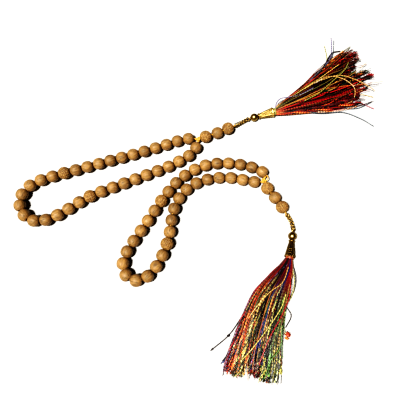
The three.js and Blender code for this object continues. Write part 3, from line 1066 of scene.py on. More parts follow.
def bead_profile(radius, half_length, bore, steps):
    """A bead's outline: a squarish barrel with a countersunk bore."""
    edge = math.acos((bore * SINK_WIDTH / radius) ** (1 / BARREL_POWER))
    reach = half_length / math.sin(edge) ** BARREL_POWER
    outline = []
    for k in range(steps + 1):
        angle = edge * (2 * k / steps - 1)
        swing = math.copysign(abs(math.sin(angle)) ** BARREL_POWER, angle)
        outline.append((radius * math.cos(angle) ** BARREL_POWER, reach * swing))
    outline.append((bore * FOOT_WIDTH, half_length - FOOT_DEPTH * radius))
    outline.append((bore, half_length - BORE_DEPTH * radius))
    outline.append((bore, BORE_DEPTH * radius - half_length))
    outline.append((bore * FOOT_WIDTH, FOOT_DEPTH * radius - half_length))
    return outline


# The carving: its two incised rings, as (height, width, depth), and how often the crossed lines,
# the dots between the rings and the notches at the ends come in a turn.
INCISED_RINGS = ((0.56, 0.075, 1.0), (0.76, 0.06, 0.8))
LATTICE_TOP = 0.5
LATTICE_SLOPE = 1.25
LATTICES = 7
DOTS = 14
NOTCHES = 12


def carving_at(turn, height):
    """How deep a carved bead is cut, from 0 to 1, at a share of a turn and a height of -1 to 1."""

    def cut(distance, width):
        share = max(0.0, 1.0 - abs(distance) / width)
        return share * share * (3 - 2 * share)

    def from_line(value):
        return abs(value - round(value))

    rise = abs(height)
    deep = max(cut(rise - ring, width) * depth for ring, width, depth in INCISED_RINGS)
    if rise < LATTICE_TOP:
        left = from_line(turn * LATTICES + height * LATTICE_SLOPE)
        right = from_line(turn * LATTICES - height * LATTICE_SLOPE)
        deep = max(deep, cut(left, 0.15), cut(right, 0.15))
        deep = max(deep, cut(math.hypot(left - 0.5, right - 0.5), 0.3))
    elif 0.6 < rise < 0.72:
        deep = max(deep, cut(math.hypot(from_line(turn * DOTS) * 1.6, (rise - 0.66) * 5), 0.36))
    elif rise > 0.78:
        deep = max(deep, cut(from_line(turn * NOTCHES), 0.24) * min(1, (rise - 0.78) * 9))
    return deep


def bead_mesh(name, radius, half_length, bore, sides, steps, cut_depth):
    """A turned bead with its bore along Y, and its carving if it has any."""
    outline = bead_profile(radius, half_length, bore, steps)
    points, faces = turned(outline, sides)
    mesh = mesh_from(name, points, faces)
    cuts = [0.0] * len(points)
    if cut_depth:
        for index, vertex in enumerate(mesh.vertices):
            row, column = divmod(index, sides)
            if row <= steps:
                cuts[index] = carving_at(column / sides, vertex.co.y / half_length)
        inward = [vertex.normal * (cut_depth * cuts[k]) for k, vertex in enumerate(mesh.vertices)]
        for vertex, move in zip(mesh.vertices, inward):
            vertex.co -= move
    add_attribute(mesh, "bead_place", "FLOAT_VECTOR", [tuple(p) for p in points])
    add_attribute(mesh, "carving", "FLOAT", cuts)
    return mesh


def oval_ring(name, length, width, wire, around=28, section=10):
    """A link of round wire: its long way is along Y, and it lies in the XY plane."""
    straight = (length - width) / 2
    bend = width / 2 - wire
    points, faces = [], []
    for k in range(around):
        angle = 2 * math.pi * k / around
        out = Vector((math.cos(angle), math.sin(angle), 0))
        middle = out * bend + Vector((0, math.copysign(straight, math.sin(angle)), 0))
        for j in range(section):
            turn = 2 * math.pi * j / section
            points.append(middle + out * (wire * math.cos(turn)) + UP * (wire * math.sin(turn)))
            after, side = (k + 1) % around, (j + 1) % section
            faces.append((k * section + j, after * section + j,
                          after * section + side, k * section + side))
    return mesh_from(name, points, faces)


def merged(name, parts):
    """One mesh of several lists of points and faces."""
    points, faces = [], []
    for part_points, part_faces in parts:
        first = len(points)
        points.extend(part_points)
        faces.extend(tuple(first + k for k in face) for face in part_faces)
    return mesh_from(name, points, faces)


def as_lists(mesh):
    """The points and faces of a mesh."""
    points = [vertex.co.copy() for vertex in mesh.vertices]
    return points, [tuple(polygon.vertices) for polygon in mesh.polygons]


# ---------------------------------------------------------------------------
# The cap
# ---------------------------------------------------------------------------

# Lengths of the cap and the ball. What starts or stands ahead is measured from the eye's centre
# towards the mouth, and the rim and the scallops by shares of the cone's length.
CAP_STARTS = 0.00767
CAP_LENGTH = 0.0108
CAP_TOP_RADIUS = 0.0016
CAP_MOUTH_RADIUS = 0.00335
CAP_FLARE = 1.15
FLUTE_DEPTH = 0.00034
RIM_ROLL = 0.00013
RIM_AT = 0.96
RIM_WIDTH = 0.02
SCALLOP = 0.00038
SCALLOPS_START = 0.9
EYE_RADIUS = 0.0012
EYE_WIRE = 0.00036
STEM_RADIUS = 0.00036
STEM_TIP_RADIUS = 0.00001
STEM_IN_CAP = 0.0006
COLLAR_BEHIND = 0.00015
BALL_AHEAD = 0.00457
BALL_BORE = 0.0007
BALL_LIP = 0.00016

# The grid of the cone's wall, and its holes: the row of each ring of holes and a hole's radius,
# both in rows. A hole is cut into a patch that reaches so many rows and columns each way.
COLUMNS_IN_FLUTE = 8
CAP_ROWS = 56
HOLE_ROWS = ((48, 1.45), (40, 1.25), (33, 1.05))
PATCH = 2


def cap_point(metal, turn, share, inset):
    """A point of the fluted cone, at a share of a turn and of its length."""
    crest = 0.5 + 0.5 * math.cos(2 * math.pi * turn * metal.flutes)
    flare = CAP_TOP_RADIUS + (CAP_MOUTH_RADIUS - CAP_TOP_RADIUS) * share**CAP_FLARE
    radius = flare + (crest - 0.6) * FLUTE_DEPTH * min(1, share * 3) - inset
    roll = RIM_ROLL * math.exp(-(((share - RIM_AT) / RIM_WIDTH) ** 2))
    scallop = SCALLOP * crest * max(0, share - SCALLOPS_START) / (1 - SCALLOPS_START)
    ahead = CAP_STARTS + CAP_LENGTH * share + scallop
    angle = 2 * math.pi * turn
    return Vector(((radius + roll) * math.cos(angle), ahead, -(radius + roll) * math.sin(angle)))


def pierced_cone(metal):
    """The cone's wall: an outer and an inner skin that meet round every hole and at both ends."""
    columns = metal.flutes * COLUMNS_IN_FLUTE
    holes = {(column, row): size for row, size in HOLE_ROWS
             for column in range(0, columns, COLUMNS_IN_FLUTE)}

    def within(column, row, reach):
        for centre in holes:
            across = (column - centre[0] + columns // 2) % columns - columns // 2
            if abs(across) < reach and abs(row - centre[1]) < reach:
                return True
        return False

    points, faces = [], []
    skins = []
    for inset in (0.0, metal.wall):
        index = {}
        for row in range(CAP_ROWS + 1):
            for column in range(columns):
                if not within(column, row, PATCH):
                    index[column, row] = len(points)
                    points.append(cap_point(metal, column / columns, row / CAP_ROWS, inset))
        flip = inset > 0

        def face(*corners, flip=flip):
            faces.append(tuple(reversed(corners)) if flip else corners)

        for row in range(CAP_ROWS):
            for column in range(columns):
                if not within(column + 0.5, row + 0.5, PATCH):
                    after = (column + 1) % columns
                    face(index[column, row], index[after, row],
                         index[after, row + 1], index[column, row + 1])
        rims = []
        for (column, row), size in holes.items():
            steps = range(-PATCH, PATCH)
            side = [(-PATCH, k) for k in steps] + [(k, PATCH) for k in steps]
            border = side + [(-x, -y) for x, y in side]
            outer = [index[(column + x) % columns, row + y] for x, y in border]
            inner = []
            for x, y in border:
                shrink = size / math.hypot(x, y)
                inner.append(len(points))
                points.append(cap_point(metal, (column + x * shrink) / columns,
                                        (row + y * shrink) / CAP_ROWS, inset))
            for k in range(len(border)):
                after = (k + 1) % len(border)
                face(outer[after], outer[k], inner[k], inner[after])
            rims.append(inner)
        skins.append((index, rims))
    (outside, outer_rims), (inside, inner_rims) = skins
    for column in range(columns):
        after = (column + 1) % columns
        faces.append((outside[after, 0], outside[column, 0], inside[column, 0], inside[after, 0]))
        faces.append((outside[column, CAP_ROWS], outside[after, CAP_ROWS],
                      inside[after, CAP_ROWS], inside[column, CAP_ROWS]))
    for outer, inner in zip(outer_rims, inner_rims):
        for k in range(len(outer)):
            after = (k + 1) % len(outer)
            faces.append((outer[k], inner[k], inner[after], outer[after]))
    return points, faces


def cap_parts(metal):
    """The cone, its collar, its stem and the eye at the stem's end."""
    collar = [(0.0004, 0), (0.0019, 0.0001), (0.00215, 0.0004), (0.00215, 0.0007),
              (0.0019, 0.00098), (0.0016, 0.0012), (0.0004, 0.0012)]
    collar = [(radius, CAP_STARTS + ahead - COLLAR_BEHIND) for radius, ahead in collar]
    stem_end = CAP_STARTS + STEM_IN_CAP
    stem = [(STEM_TIP_RADIUS, EYE_RADIUS), (STEM_RADIUS, EYE_RADIUS), (STEM_RADIUS, stem_end),
            (STEM_TIP_RADIUS, stem_end)]
    eye_width = 2 * (EYE_RADIUS + EYE_WIRE)
    eye = oval_ring("eye", eye_width, eye_width, EYE_WIRE, around=32, section=12)
    parts = [pierced_cone(metal), turned(collar, 48), turned(stem, 16), as_lists(eye)]
    bpy.data.meshes.remove(eye)
    return parts


def ball_profile(radius):
    """A bored ball with a small rolled lip at each end of its bore."""
    edge = math.acos((BALL_BORE + 2.2 * BALL_LIP) / radius)
    steps = 32
    outline = []
    for k in range(steps + 1):
        angle = edge * (2 * k / steps - 1)
        outline.append((radius * math.cos(angle), radius * math.sin(angle)))
    end = radius * math.sin(edge)
    rim = [(BALL_BORE + 1.9 * BALL_LIP, end + BALL_LIP),
           (BALL_BORE + BALL_LIP, end + 1.3 * BALL_LIP),
           (BALL_BORE, end + BALL_LIP), (BALL_BORE, end - BALL_LIP)]
    return outline + rim + [(r, -y) for r, y in reversed(rim)]


# ---------------------------------------------------------------------------
# Cords and knots
# ---------------------------------------------------------------------------

# The spacing of the points along a cord, and the main knot: its size is that of its trefoil's
# formula, and its depth is beside that.
CORD_STEP = 0.0004
KNOT_SIZE = 0.0005
KNOT_STEPS = 60
KNOT_DEPTH = 1.2

# The bow of slack at the main knot: how far one of its ends stands up, and how thick it is
# beside the cord.
BOW_STEPS = 40
BOW_TILT = 0.0006
BOW_THICKNESS = 0.75

# The hitch that holds the chain: how far behind the chain's start its middle lies, and how
# thick it is beside the cord.
HITCH_STEPS = 28
HITCH_HALF_WIDTH = 0.0007
HITCH_HALF_LENGTH = 0.0009
HITCH_BEHIND = 0.0015
HITCH_THICKNESS = 0.6

# The roll of the hitch and of every second ring of a chain; the other rings roll the other way.
RING_ROLL = math.pi / 4


def knot_line(centre, turn, size):
    """A trefoil, flattened a little and turned about the vertical."""
    line = []
    for k in range(KNOT_STEPS):
        t = 2 * math.pi * k / KNOT_STEPS
        point = Vector((math.sin(t) + 2 * math.sin(2 * t), math.cos(t) - 2 * math.cos(2 * t),
                        -KNOT_DEPTH * math.sin(3 * t)))
        line.append(centre + Matrix.Rotation(turn, 3, "Z") @ (point * size))
    return line


def bow_line(strand):
    """The slack of cord that stands out of the knot."""
    x, y, z, half_width, half_length = strand["bow"]
    line = []
    for k in range(BOW_STEPS):
        angle = 2 * math.pi * k / BOW_STEPS
        line.append(Vector((x + half_width * math.cos(angle), y + half_length * math.sin(angle),
                            z + BOW_TILT * math.cos(angle))))
    return line


def ring_turn(along, roll):
    """The turn that lays a ring's long way along a direction and rolls it about that."""
    side = along.cross(UP).normalized()
    basis = Matrix((side, along, side.cross(along))).transposed()
    return basis @ Matrix.Rotation(roll, 3, "Y")


def hitch_line(strand):
    """The small loop of cord that holds the chain's first ring."""
    chain = Route(strand["chain"])
    along = chain.along(0)
    centre = chain.at(0) - along * HITCH_BEHIND
    place = Matrix.Translation(centre) @ ring_turn(along, -RING_ROLL).to_4x4()
    line = []
    for k in range(HITCH_STEPS):
        angle = 2 * math.pi * k / HITCH_STEPS
        straight = math.copysign(HITCH_HALF_LENGTH - HITCH_HALF_WIDTH, math.sin(angle))
        line.append(place @ Vector((HITCH_HALF_WIDTH * math.cos(angle),
                                    HITCH_HALF_WIDTH * math.sin(angle) + straight, 0)))
    return line


# ---------------------------------------------------------------------------
# The tassel
# ---------------------------------------------------------------------------

# How light a thread is beside its named shade, and its second ply beside its first.
THREAD_LEVELS = (0.05, 0.12, 0.35, 0.8, 1.25, 1.9)
MATE_LEVELS = (0.15, 0.3, 0.6, 1.0)
STRAY_MATE_LEVEL = 0.45

# Steps along a lock's thread and a loose one, and the lowest height of a thread's middle line.
LOCK_STEPS = 34
LOOSE_STEPS = 22
THREAD_FLOOR = 0.0003

# How far the bundle reaches into the cap, with its half width and height there.
INSIDE_CAP = 0.0018
INSIDE_HALF_WIDTH = 0.0016
INSIDE_HEIGHT = 0.0032

# How far a lock's threads stand from its middle, where along the skirt they spread out, and how
# fast.
LOCK_REACH = 0.00064
SPREADS_AT = 0.84
SPREAD = 7

# Shades of the odd ones among the loose threads, and how often a loose thread is one of them, left
# and right of a place across the skirt.
ODD_SHADES = ("gold", "cream", "olive", "orange", "black")
ODD_LEFT_OF = -0.3
ODD_ON_LEFT = 0.45
ODD_ON_RIGHT = 0.2

# A stray's thickness beside the tassel's threads: pale ones are finer than the others.
FINE_SHADES = ("gold", "yellow")
FINE_STRAY = 1.1
STRAY = 1.45

# The thread round the neck: where it starts ahead of the cap's mouth, and how far on it ends.
BIND_TURNS = 4
BIND_STEPS = 24
BIND_RADIUS = 0.00245
BIND_STARTS = 0.0003
BIND_WIDTH = 0.0013


class Skirt:
    """The fanned bundle of a tassel, from inside the cap to its far edge."""

    def __init__(self, strand):
        mouth = Vector(strand["mouth"])
        eye = Vector(strand["eye"])
        inside = mouth - (mouth - eye).normalized() * INSIDE_CAP
        underside = mouth.z - INSIDE_HEIGHT / 2
        start = (inside.x, inside.y, INSIDE_HALF_WIDTH, underside, INSIDE_HEIGHT)
        self.stations = smooth_points([start, *strand["skirt"]], 16)
        self.marks = [0.0]
        for here, ahead in zip(self.stations, self.stations[1:]):
            self.marks.append(self.marks[-1] + math.hypot(ahead[0] - here[0], ahead[1] - here[1]))
        self.length = self.marks[-1]
        self.left_pinch = strand["left_pinch"]

    def station(self, length):
        """The skirt's measures at a length along it, and its direction there."""
        last = len(self.marks) - 2
        low = 0
        while low < last and self.marks[low + 1] < length:
            low += 1
        share = (length - self.marks[low]) / (self.marks[low + 1] - self.marks[low])
        here, ahead = self.stations[low], self.stations[low + 1]
        values = here + (ahead - here) * share
        along = Vector((ahead[0] - here[0], ahead[1] - here[1], 0)).normalized()
        return values, along

    def place(self, length, across, up, thick):
        """A point at a length along the skirt, from -1 to 1 across it and 0 to 1 up in it."""
        (x, y, half_width, underside, height), along = self.station(length)
        side = UP.cross(along)
        dome = math.sqrt(max(0.05, 1 - 0.88 * min(1, across * across)))
        rise = underside + thick + up * dome * (height - 2 * thick)
        across *= 1 - self.left_pinch * min(1, max(0, across))
        return Vector((x, y, 0)) + side * (across * half_width) + UP * rise, side


def band_shades(bands, across, chance, count):
    """Shades by the weights of the band that holds a place across the skirt."""
    share = (across + 1) / 2
    for end, weights in bands:
        if share < end:
            break
    return chance.choices(list(weights), list(weights.values()), k=count)


def tone_of(shade, level):
    """A named shade, lighter or darker."""
    return [min(1.0, part * level) for part in SHADES[shade]] + [1.0]


class Threads:
    """Lines of thread, each with a radius and the colours of its two plies along it."""

    def __init__(self):
        self.lines = []
        self.radii = []
        self.shades = []
        self.mates = []

    def add(self, line, radius, shades, mates):
        """Adds a line with one radius, and with a colour of each ply for each of its points."""
        self.lines.append(line)
        self.radii.extend([radius] * len(line))
        self.shades.extend(shades)
        self.mates.extend(mates)

    def spin(self, name, sides, material):
        """One piece of all the threads."""
        source = line_mesh(name + "_lines", self.lines)
        add_attribute(source, "thread_radius", "FLOAT", self.radii)
        add_attribute(source, "thread_shade", "FLOAT_COLOR", self.shades)
        add_attribute(source, "thread_mate", "FLOAT_COLOR", self.mates)
        tree = built_once("Spun Threads", spun_threads_tree)
        return grown(name, source, tree, Sides=sides, Material=material)


def coloured_along(shade, root, root_ends, shares):
    """A thread's colour at shares of the skirt's length: its root's colour, then its own."""
    colours = []
    low, high = root_ends
    for share in shares:
        weight = min(1.0, max(0.0, (share - low) / (high - low)))
        colours.append([a + (b - a) * weight for a, b in zip(root, shade)])
    return colours


def lock_threads(strand, tassel, chance):
    """The threads that are twisted together in locks."""
    skirt = Skirt(strand)
    threads = Threads()
    key = strand["key"]
    right_cut, left_cut = strand["edge_cuts"]
    for number in range(tassel.locks):
        across = 1.98 * (number + chance.random()) / tassel.locks - 0.99
        across = math.copysign(abs(across) ** 0.92, across)
        up = chance.random() ** 0.8
        wander = chance.uniform(-0.15, 0.15)
        phase = chance.uniform(0, 2 * math.pi)
        bend = chance.uniform(0.6, 1.7)
        pitch = chance.uniform(0.011, 0.018)
        loose = chance.uniform(0.8, 1.5)
        short = right_cut * max(0, -across) ** 2 + left_cut * max(0, across) ** 2
        length = skirt.length * (1.03 - short - 0.23 * chance.random() ** 1.4)
        palette = band_shades(BANDS[key], across, chance, 3)
        root = tone_of(band_shades(ROOTS[key], across, chance, 1)[0], chance.uniform(0.7, 1.2))
        for member in range(tassel.threads_in_lock):
            start = phase + 2 * math.pi * member / tassel.threads_in_lock
            end = length * (1 - 0.05 * chance.random() ** 2)
            depth = chance.uniform(0.35, 1.0)
            line = []
            for k in range(LOCK_STEPS + 1):
                run = end * k / LOCK_STEPS
                share = run / skirt.length
                sway = wander * share * math.sin(phase + bend * share * math.pi)
                middle, side = skirt.place(run, across + sway, up * (1 - 0.3 * share**2), 0.0008)
                flare = 1 + SPREAD * max(0, share - SPREADS_AT)
                reach = LOCK_REACH * loose * depth * (0.35 + share) * flare
                turn = start + 2 * math.pi * run / pitch
                point = middle + side * (reach * math.cos(turn)) + UP * (reach * math.sin(turn))
                point.z = max(point.z, THREAD_FLOOR)
                line.append(point)
            shares = [end * k / LOCK_STEPS / skirt.length for k in range(LOCK_STEPS + 1)]
            level = chance.choice(THREAD_LEVELS) * chance.uniform(0.8, 1.2)
            first = tone_of(palette[0 if member % 3 else 1], level)
            second = tone_of(palette[0 if member % 2 else 2], level * chance.choice(MATE_LEVELS))
            radius = tassel.thread_radius * chance.uniform(0.8, 1.15)
            threads.add(line, radius, coloured_along(first, root, strand["root_ends"], shares),
                        coloured_along(second, root, strand["root_ends"], shares))
    return threads


def lay_stray(threads, line, shade, radius):
    """Adds a thread of one shade, with a darker second ply."""
    count = len(line)
    mate = tone_of(shade, STRAY_MATE_LEVEL)
    threads.add(line, radius, [tone_of(shade, 1.0)] * count, [mate] * count)


def lay_thread_knot(threads, knot, radius, chance):
    """Adds a knot on a single thread, with its frayed ends."""
    x, y, z, size, frays, shade = knot
    centre = Vector((x, y, z))
    lay_stray(threads, knot_line(centre, 0.6, size), shade, radius)
    for _ in range(frays):
        angle = chance.uniform(-1.9, 0.4)
        reach = chance.uniform(3.5, 6) * size
        middle = centre + Vector((math.cos(angle), math.sin(angle), 0.3)) * (reach * 0.5)
        end = centre + Vector((math.cos(angle + 0.4), math.sin(angle + 0.4), -0.05)) * reach
        lay_stray(threads, smooth_points([centre, middle, end], 5), shade, radius * 0.8)


def loose_threads(strand, tassel, chance):
    """The single threads that lie between and over the locks, and the strays."""
    skirt = Skirt(strand)
    threads = Threads()
    key = strand["key"]
    right_cut = strand["edge_cuts"][0]
    for _ in range(tassel.loose_threads):
        across = chance.uniform(-1, 1)
        drift = chance.gauss(0, strand["drift"])
        phase = chance.uniform(0, 2 * math.pi)
        ripple = chance.uniform(0.02, 0.09)
        up = chance.uniform(0.6, 1.08)
        length = skirt.length * chance.uniform(0.7, 1.03) * (1 - right_cut * max(0, -across) ** 2)
        line = []
        for k in range(LOOSE_STEPS + 1):
            run = length * k / LOOSE_STEPS
            share = run / skirt.length
            place = across + drift * share * share + ripple * share * math.sin(phase + 9 * share)
            point, _ = skirt.place(run, max(-1.1, min(1.1, place)), up, 0.0005)
            point.z = max(point.z, THREAD_FLOOR)
            line.append(point)
        shade = band_shades(BANDS[key], across, chance, 1)[0]
        if chance.random() < (ODD_ON_LEFT if across > ODD_LEFT_OF else ODD_ON_RIGHT):
            shade = chance.choice(ODD_SHADES)
        root = tone_of(band_shades(ROOTS[key], across, chance, 1)[0], 0.9)
        level = chance.choice(THREAD_LEVELS)
        first = tone_of(shade, level)
        second = tone_of(shade, level * chance.choice(MATE_LEVELS))
        shares = [length * k / LOOSE_STEPS / skirt.length for k in range(LOOSE_STEPS + 1)]
        threads.add(line, tassel.thread_radius * chance.uniform(0.6, 0.85),
                    coloured_along(first, root, strand["root_ends"], shares),
                    coloured_along(second, root, strand["root_ends"], shares))
    for route, shade in strand["strays"]:
        weight = FINE_STRAY if shade in FINE_SHADES else STRAY
        lay_stray(threads, smooth_points(route, 8), shade, tassel.thread_radius * weight)
    for knot in strand["thread_knots"]:
        lay_thread_knot(threads, knot, tassel.thread_radius, chance)
    return threads


def neck_binding(strand, tassel):
    """A few close turns of thread round the neck, at the cap's mouth."""
    mouth = Vector(strand["mouth"])
    basis = cap_basis(strand).to_3x3()
    steps = BIND_STEPS * BIND_TURNS
    line = []
    for k in range(steps + 1):
        angle = 2 * math.pi * k / BIND_STEPS
        ahead = BIND_STARTS + BIND_WIDTH * k / steps
        out = Vector((BIND_RADIUS * math.cos(angle), ahead, BIND_RADIUS * math.sin(angle)))
        line.append(mouth + basis @ out)
    count = len(line)
    binding = Threads()
    binding.add(line, tassel.thread_radius, [tone_of(strand["binding"], 1.0)] * count,
                [tone_of(strand["binding"], 0.5)] * count)
    return binding


# ---------------------------------------------------------------------------
# Operators
# ---------------------------------------------------------------------------

# The camera's sensor in millimetres, and how near and far it sees in metres.
SENSOR_WIDTH = 36
NEAR = 0.01
FAR = 20

# The floor, the direction and colour of the key, and the surround as the camera sees it.
FLOOR_REACH = 6.0
KEY_FROM = (-0.34, -0.27, 1.0)
KEY_COLOUR = (1.0, 0.975, 0.93)
SKY_COLOUR = (0.95, 0.97, 1.0, 1)
SKY_SEEN = 1.3

# The view's curve that works on all three colours at once, and its points from linear light to
# linear light.
COMBINED_CURVE = 3
CONTRAST = ((0.022, 0.001), (0.068, 0.009), (0.163, 0.064), (0.285, 0.185), (0.393, 0.33),
            (0.515, 0.47), (0.75, 0.79))

# Sides round a bead and steps along it, and the smallest size of a bead beside the full one.
PLAIN_FACETS = (48, 22)
CARVED_FACETS = (144, 64)
SMALLEST_PLAIN = 0.98
SMALLEST_CARVED = 0.995

# A single bead's seed is its number, counted on from this one in a tail. A joined run of beads
# has a seed of its own.
TAIL_SEED = 40
RUN_SEED = 77
BEAD_RUNS = (1, 2, 3)

BALL_SIDES = 64
LOCK_SIDES = 5
LOOSE_SIDES = 6
BINDING_SIDES = 8



def build_object(name, mesh, material):
    """Links a finished mesh to the scene as a piece with its material."""
    mesh.name = name
    mesh.materials.clear()
    mesh.materials.append(material)
    piece = bpy.data.objects.new(name, mesh)
    bpy.context.collection.objects.link(piece)
    return piece


def settle(piece, body, slot, *nodes):
    """Puts a piece on its body, and hides the nodes that it replaces. Its slot is not used."""
    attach(piece, body)
    if nodes:
        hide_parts(*nodes)


class PRAYER_OT_stage(bpy.types.Operator):
    """Set up the camera, the floor and the light"""

    bl_idname = "prayer.stage"
    bl_label = "Stage"

    def execute(self, context):
        stage = settings("stage")
        self.aim_the_camera(context, stage)
        self.lay_the_floor(stage)
        self.light_the_sky(context, stage)
        key = bpy.data.objects.new("key", bpy.data.lights.new("key", "SUN"))
        key.data.energy = stage.sun_strength
        key.data.angle = stage.sun_angle
        key.data.color = KEY_COLOUR
        key.rotation_euler = Vector(KEY_FROM).to_track_quat("Z", "Y").to_euler()
        context.collection.objects.link(key)
        return {"FINISHED"}

    def aim_the_camera(self, context, stage):
        """Points the camera at the strands."""
        back = Vector((0, -math.cos(stage.elevation), math.sin(stage.elevation)))
        camera = bpy.data.objects.new("camera", bpy.data.cameras.new("camera"))
        camera.data.lens = stage.lens
        camera.data.sensor_width = SENSOR_WIDTH
        camera.data.clip_start = NEAR
        camera.data.clip_end = FAR
        camera.location = Vector(stage.look_at) + back * stage.distance
        camera.rotation_euler = (math.pi / 2 - stage.elevation, 0, 0)
        context.collection.objects.link(camera)
        context.scene.camera = camera

    def lay_the_floor(self, stage):
        """A plain pale floor at the height of the table top."""
        reach = FLOOR_REACH
        points = [(-reach, -reach, 0), (reach, -reach, 0), (reach, reach, 0), (-reach, reach, 0)]
        material, _, shader = new_material("pale_floor", Roughness=0.9, Specular_IOR_Level=0.1)
        shader.inputs["Base Color"].default_value = opaque(stage.floor_colour)
        build_object("floor", mesh_from("floor", points, [(0, 1, 2, 3)]), material)

    def light_the_sky(self, context, stage):
        """A pale surround to look at that gives only a weak fill, and the view's contrast."""
        world = bpy.data.worlds.new("studio")
        world.use_nodes = True
        context.scene.world = world
        tree = world.node_tree
        background = tree.nodes["Background"]
        seen = put(tree, "ShaderNodeLightPath").outputs["Is Camera Ray"]
        strength = spread(tree, seen, 0, 1, stage.sky_strength, SKY_SEEN)
        tree.links.new(strength, background.inputs["Strength"])
        background.inputs["Color"].default_value = SKY_COLOUR
        view = context.scene.view_settings
        view.view_transform = "Standard"
        view.use_curve_mapping = True
        contrast = view.curve_mapping.curves[COMBINED_CURVE]
        for given, shown in CONTRAST:
            contrast.points.new(given, shown)
        view.curve_mapping.update()


class PRAYER_OT_cords(bpy.types.Operator):
    """Lay the cord of each loop and each tail, and tie their knots"""

    bl_idname = "prayer.cords"
    bl_label = "Cords and Knots"

    def execute(self, context):
        radius = settings("cord").radius
        for strand in STRANDS:
            key = strand["key"]
            slack_body = f"strand_{key}"
            tail_body = f"tail_{key}"

            loop = Route(strand["loop"])
            line = loop.steps(CORD_STEP)
            cord = self.wind(f"wound_loop_cord_{key}", line, slack_body, f"loop_cord_{key}")
            centre = Vector((*strand["knot"], CORD_HEIGHT))
            tied = knot_line(centre, math.radians(strand["knot_turn"]), KNOT_SIZE)
            knot = self.wind(f"tied_knot_{key}", tied, slack_body, f"knot_{key}", closed=True)
            self.wind(f"knot_bow_{key}", bow_line(strand), slack_body, closed=True,
                      thickness=BOW_THICKNESS)

            self.wind(f"wound_tail_cord_{key}", Route(strand["tail"]).steps(CORD_STEP), tail_body,
                      f"tail_cord_{key}")
            self.wind(f"cord_hitch_{key}", hitch_line(strand), tail_body, closed=True,
                      thickness=HITCH_THICKNESS)
        return {"FINISHED"}

    def wind(self, name, line, body, *nodes, closed=False, thickness=1.0):
        """Winds a cord along a line, and gives it to a body and the nodes that it replaces."""
        cord = settings("cord")
        source = line_mesh(name + "_line", [line], closed)
        tree = built_once("Wound Cord", wound_cord_tree)
        material = bpy.data.materials.get("gold_cord") or cord_material(cord)
        piece = grown(name, source, tree, Radius=cord.radius * thickness,
                      Lay_Length=cord.lay_length, Material=material)
        settle(piece, body, "gold_thread", *nodes)
        return piece


class PRAYER_OT_beads(bpy.types.Operator):
    """Turn the plain beads, carve the others, and string them on the cords"""

    bl_idname = "prayer.beads"
    bl_label = "Beads"

    def execute(self, context):
        beads = settings("beads")
        self.plain_size = (beads.radius, beads.half_length)
        self.carved_size = (beads.carved_radius, beads.carved_half_length)
        dark = beads.dark_wood
        self.plain_wood = wood_material("turned_wood", beads.light_wood, dark, False)
        self.carved_wood = wood_material("carved_wood", beads.carved_wood, dark, True)
        bore = beads.bore_radius
        self.plain = self.pattern("plain_bead", *self.plain_size, bore, *PLAIN_FACETS, 0.0)
        self.carved = self.pattern("carved_bead", *self.carved_size, bore, *CARVED_FACETS,
                                   beads.carving_depth)
        for strand in STRANDS:
            self.string_loop(strand)
            self.string_tail(strand)
        for pattern in (self.plain, self.carved):
            bpy.data.objects.remove(pattern)
        return {"FINISHED"}

    def pattern(self, name, *sizes):
        """The bead that all the beads of one kind repeat."""
        pattern = bpy.data.objects.new(name, bead_mesh(name, *sizes))
        bpy.context.collection.objects.link(pattern)
        return pattern

    def string(self, name, places, carved, seed, body, nodes):
        """One piece of the beads at some places, on one body."""
        source = point_mesh(name + "_points", places)
        tree = built_once("Strung Beads", strung_beads_tree)
        pattern = self.carved if carved else self.plain
        material = self.carved_wood if carved else self.plain_wood
        smallest = SMALLEST_CARVED if carved else SMALLEST_PLAIN
        piece = grown(name, source, tree, Bead=pattern, Smallest=smallest, Seed=seed,
                      Material=material)
        settle(piece, body, "carved_wood" if carved else "plain_wood", *nodes)

    def string_loop(self, strand):
        """A piece for each bead of a loop that has a node, and one piece of all the others."""
        key = strand["key"]
        route = Route(strand["loop"])
        joined = []
        for number in range(1, BEADS_IN_LOOP + 1):
            carved = number in CARVED_IN_LOOP
            at = strand["first_bead_at"] + (number - 1) * BEAD_PITCH
            place = bead_place(route, at, *(self.carved_size if carved else self.plain_size))
            node = f"{'separator' if carved else 'bead'}_{key}_{number:02d}"
            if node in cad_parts:
                self.string(f"wooden_{node}", [place], carved, number, node, [node])
            else:
                joined.append(place)
        if joined:
            runs = [f"bead_run_{key}_{run}" for run in BEAD_RUNS]
            self.string(f"wooden_beads_{key}", joined, False, RUN_SEED, f"strand_{key}", runs)

    def string_tail(self, strand):
        """A piece for each bead of a tail."""
        key = strand["key"]
        route = Route(strand["tail"])
        for number, at in enumerate(strand["tail_beads_at"], 1):
            carved = number in CARVED_IN_TAIL
            place = bead_place(route, at, *(self.carved_size if carved else self.plain_size))
            node = f"tail_bead_{key}_{number}"
            self.string(f"wooden_{node}", [place], carved, TAIL_SEED + number, node, [node])


class PRAYER_OT_chains(bpy.types.Operator):
    """Link the rings of each chain"""

    bl_idname = "prayer.chains"
    bl_label = "Chains"

    def execute(self, context):
        metal = settings("metal")
        mesh = oval_ring("ring", metal.ring_length, metal.ring_width, metal.ring_wire)
        ring = bpy.data.objects.new("ring", mesh)
        context.collection.objects.link(ring)
        bright = metal_material("chain_gold", metal)
        for strand in STRANDS:
            key = strand["key"]
            route = Route(strand["chain"])
            places, rolls = [], []
            for k in range(metal.rings):
                at = route.length * k / (metal.rings - 1)
                places.append((route.at(at), route.along(at)))
                rolls.append(RING_ROLL if k % 2 == 0 else -RING_ROLL)
            source = point_mesh(f"chain_points_{key}", places, roll=rolls)
            tree = built_once("Linked Rings", linked_rings_tree)
            piece = grown(f"linked_chain_{key}", source, tree, Ring=ring, Material=bright)
            settle(piece, f"chain_{key}", "gold_metal", f"chain_{key}")
        bpy.data.objects.remove(ring)
        return {"FINISHED"}


